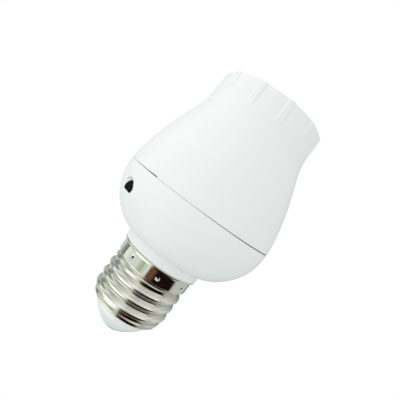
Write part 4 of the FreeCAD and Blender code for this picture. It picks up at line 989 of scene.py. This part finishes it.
deepCards = [  # further below
    (-180, "pale"), (-160, "grey"), (-140, "grey"), (-110, "bright"), (-75, "bright"), (-50, "pale"),
    (-40, "brown"), (-25, "black"), (35, "black"), (50, "grey"), (100, "grey"), (120, "dim"), (140, "dim"),
    (160, "pale"), (180, "pale")]

underCards = [  # and steeply below
    (-180, "grey"), (-150, "glare"), (-115, "glare"), (-75, "bright"), (-50, "dim"), (-40, "brown"),
    (0, "black"), (60, "black"), (90, "grey"), (115, "grey"), (135, "dim"), (180, "grey")]


def direction(turn, rise):  # from degrees round the axis and above the level
    turn, rise = math.radians(turn), math.radians(rise)
    return Vector((math.cos(turn) * math.cos(rise), math.sin(turn) * math.cos(rise), math.sin(rise)))


def emptyGraph(owner):
    owner.use_nodes = True
    owner.node_tree.nodes.clear()
    return Graph(owner.node_tree)


def raySorts(graph):  # whether a ray comes straight from the camera, and whether a gloss sent it
    sorts = ("Is Camera Ray", "Is Glossy Ray")
    return [graph.node("ShaderNodeLightPath", None, sort) for sort in sorts]


def makeWorld():  # white to the camera, even light to the part, cards to polished metal
    world = bpy.data.worlds.new("studio")
    bpy.context.scene.world = world
    graph = emptyGraph(world)
    x, y, z = graph.split(graph.node("ShaderNodeTexCoord"))
    turn = y.do("ARCTAN2", x) / math.tau + 0.5
    rings = []
    for ring in (underCards, deepCards, lowCards, highCards):
        stops = [((place + 180) / 360, cards[card]) for place, card in ring]
        rings.append(graph.ramp(turn, stops))
    seen = rings[0]
    for edge, color in zip(("underEdge", "deepEdge", "levelEdge", "overEdge"), rings[1:] + [studio["over"]]):
        share = graph.smooth(z, *(math.sin(math.radians(rise)) for rise in studio[edge]))
        seen = graph.mixColor(share, seen, color)
    brightest = direction(*studio["bright"])
    tilt = x * brightest.x + y * brightest.y + z * brightest.z
    strength = (tilt * studio["gain"] + 1) * studio["world"]
    isCamera, isGlossy = raySorts(graph)
    color = (*studio["worldColor"], 1.0)
    light = graph.node("ShaderNodeBackground", {"Color": color, "Strength": strength})
    mirror = graph.node("ShaderNodeBackground", {"Color": seen})
    plain = graph.node("ShaderNodeBackground", {"Color": (1.0, 1.0, 1.0, 1.0)})
    first = graph.node("ShaderNodeMixShader", {0: isGlossy, 1: light, 2: mirror})
    last = graph.node("ShaderNodeMixShader", {0: isCamera, 1: first, 2: plain})
    graph.node("ShaderNodeOutputWorld", {"Surface": last})


def makeFloor():  # white to the camera but for the part's soft shadow; polished metal looks through it
    size = studio["floorSize"]
    level = studio["floor"]
    mesh = bpy.data.meshes.new("floor")
    mesh.from_pydata([(-size, -size, level), (size, -size, level), (size, size, level), (-size, size, level)],
                     [], [(0, 1, 2, 3)])
    material = bpy.data.materials.new("paleFloor")
    graph = emptyGraph(material)
    isCamera, isGlossy = raySorts(graph)
    matt = graph.node("ShaderNodeBsdfDiffuse", {"Color": (*studio["floorColor"], 1.0)})
    white = graph.node("ShaderNodeEmission", {"Strength": studio["white"]})  # white by default
    clear = graph.node("ShaderNodeBsdfTransparent")
    first = graph.node("ShaderNodeMixShader", {0: isCamera * studio["whiteShare"], 1: matt, 2: white})
    last = graph.node("ShaderNodeMixShader", {0: isGlossy, 1: first, 2: clear})
    graph.node("ShaderNodeOutputMaterial", {"Surface": last})
    mesh.materials.append(material)
    floor = newObject("floor", mesh)


def makeLamp(lamp):
    back = direction(lamp["turn"], lamp["rise"])
    light = bpy.data.lights.new(lamp["name"], "AREA")
    light.shape = "DISK"
    light.size = lamp["size"]
    light.energy = lamp["power"]
    made = newObject(lamp["name"], light)
    made.visible_glossy = False  # polished metal sees the cards only
    made.rotation_mode = "QUATERNION"
    made.rotation_quaternion = back.to_track_quat("Z", "Y")
    made.location = Vector((0, 0, lamp["aim"])) + back * lamp["distance"]


makeWorld()
makeFloor()
for lamp in lamps:
    makeLamp(lamp)
bpy.context.scene.view_settings.view_transform = "Standard"
print("studio ready")
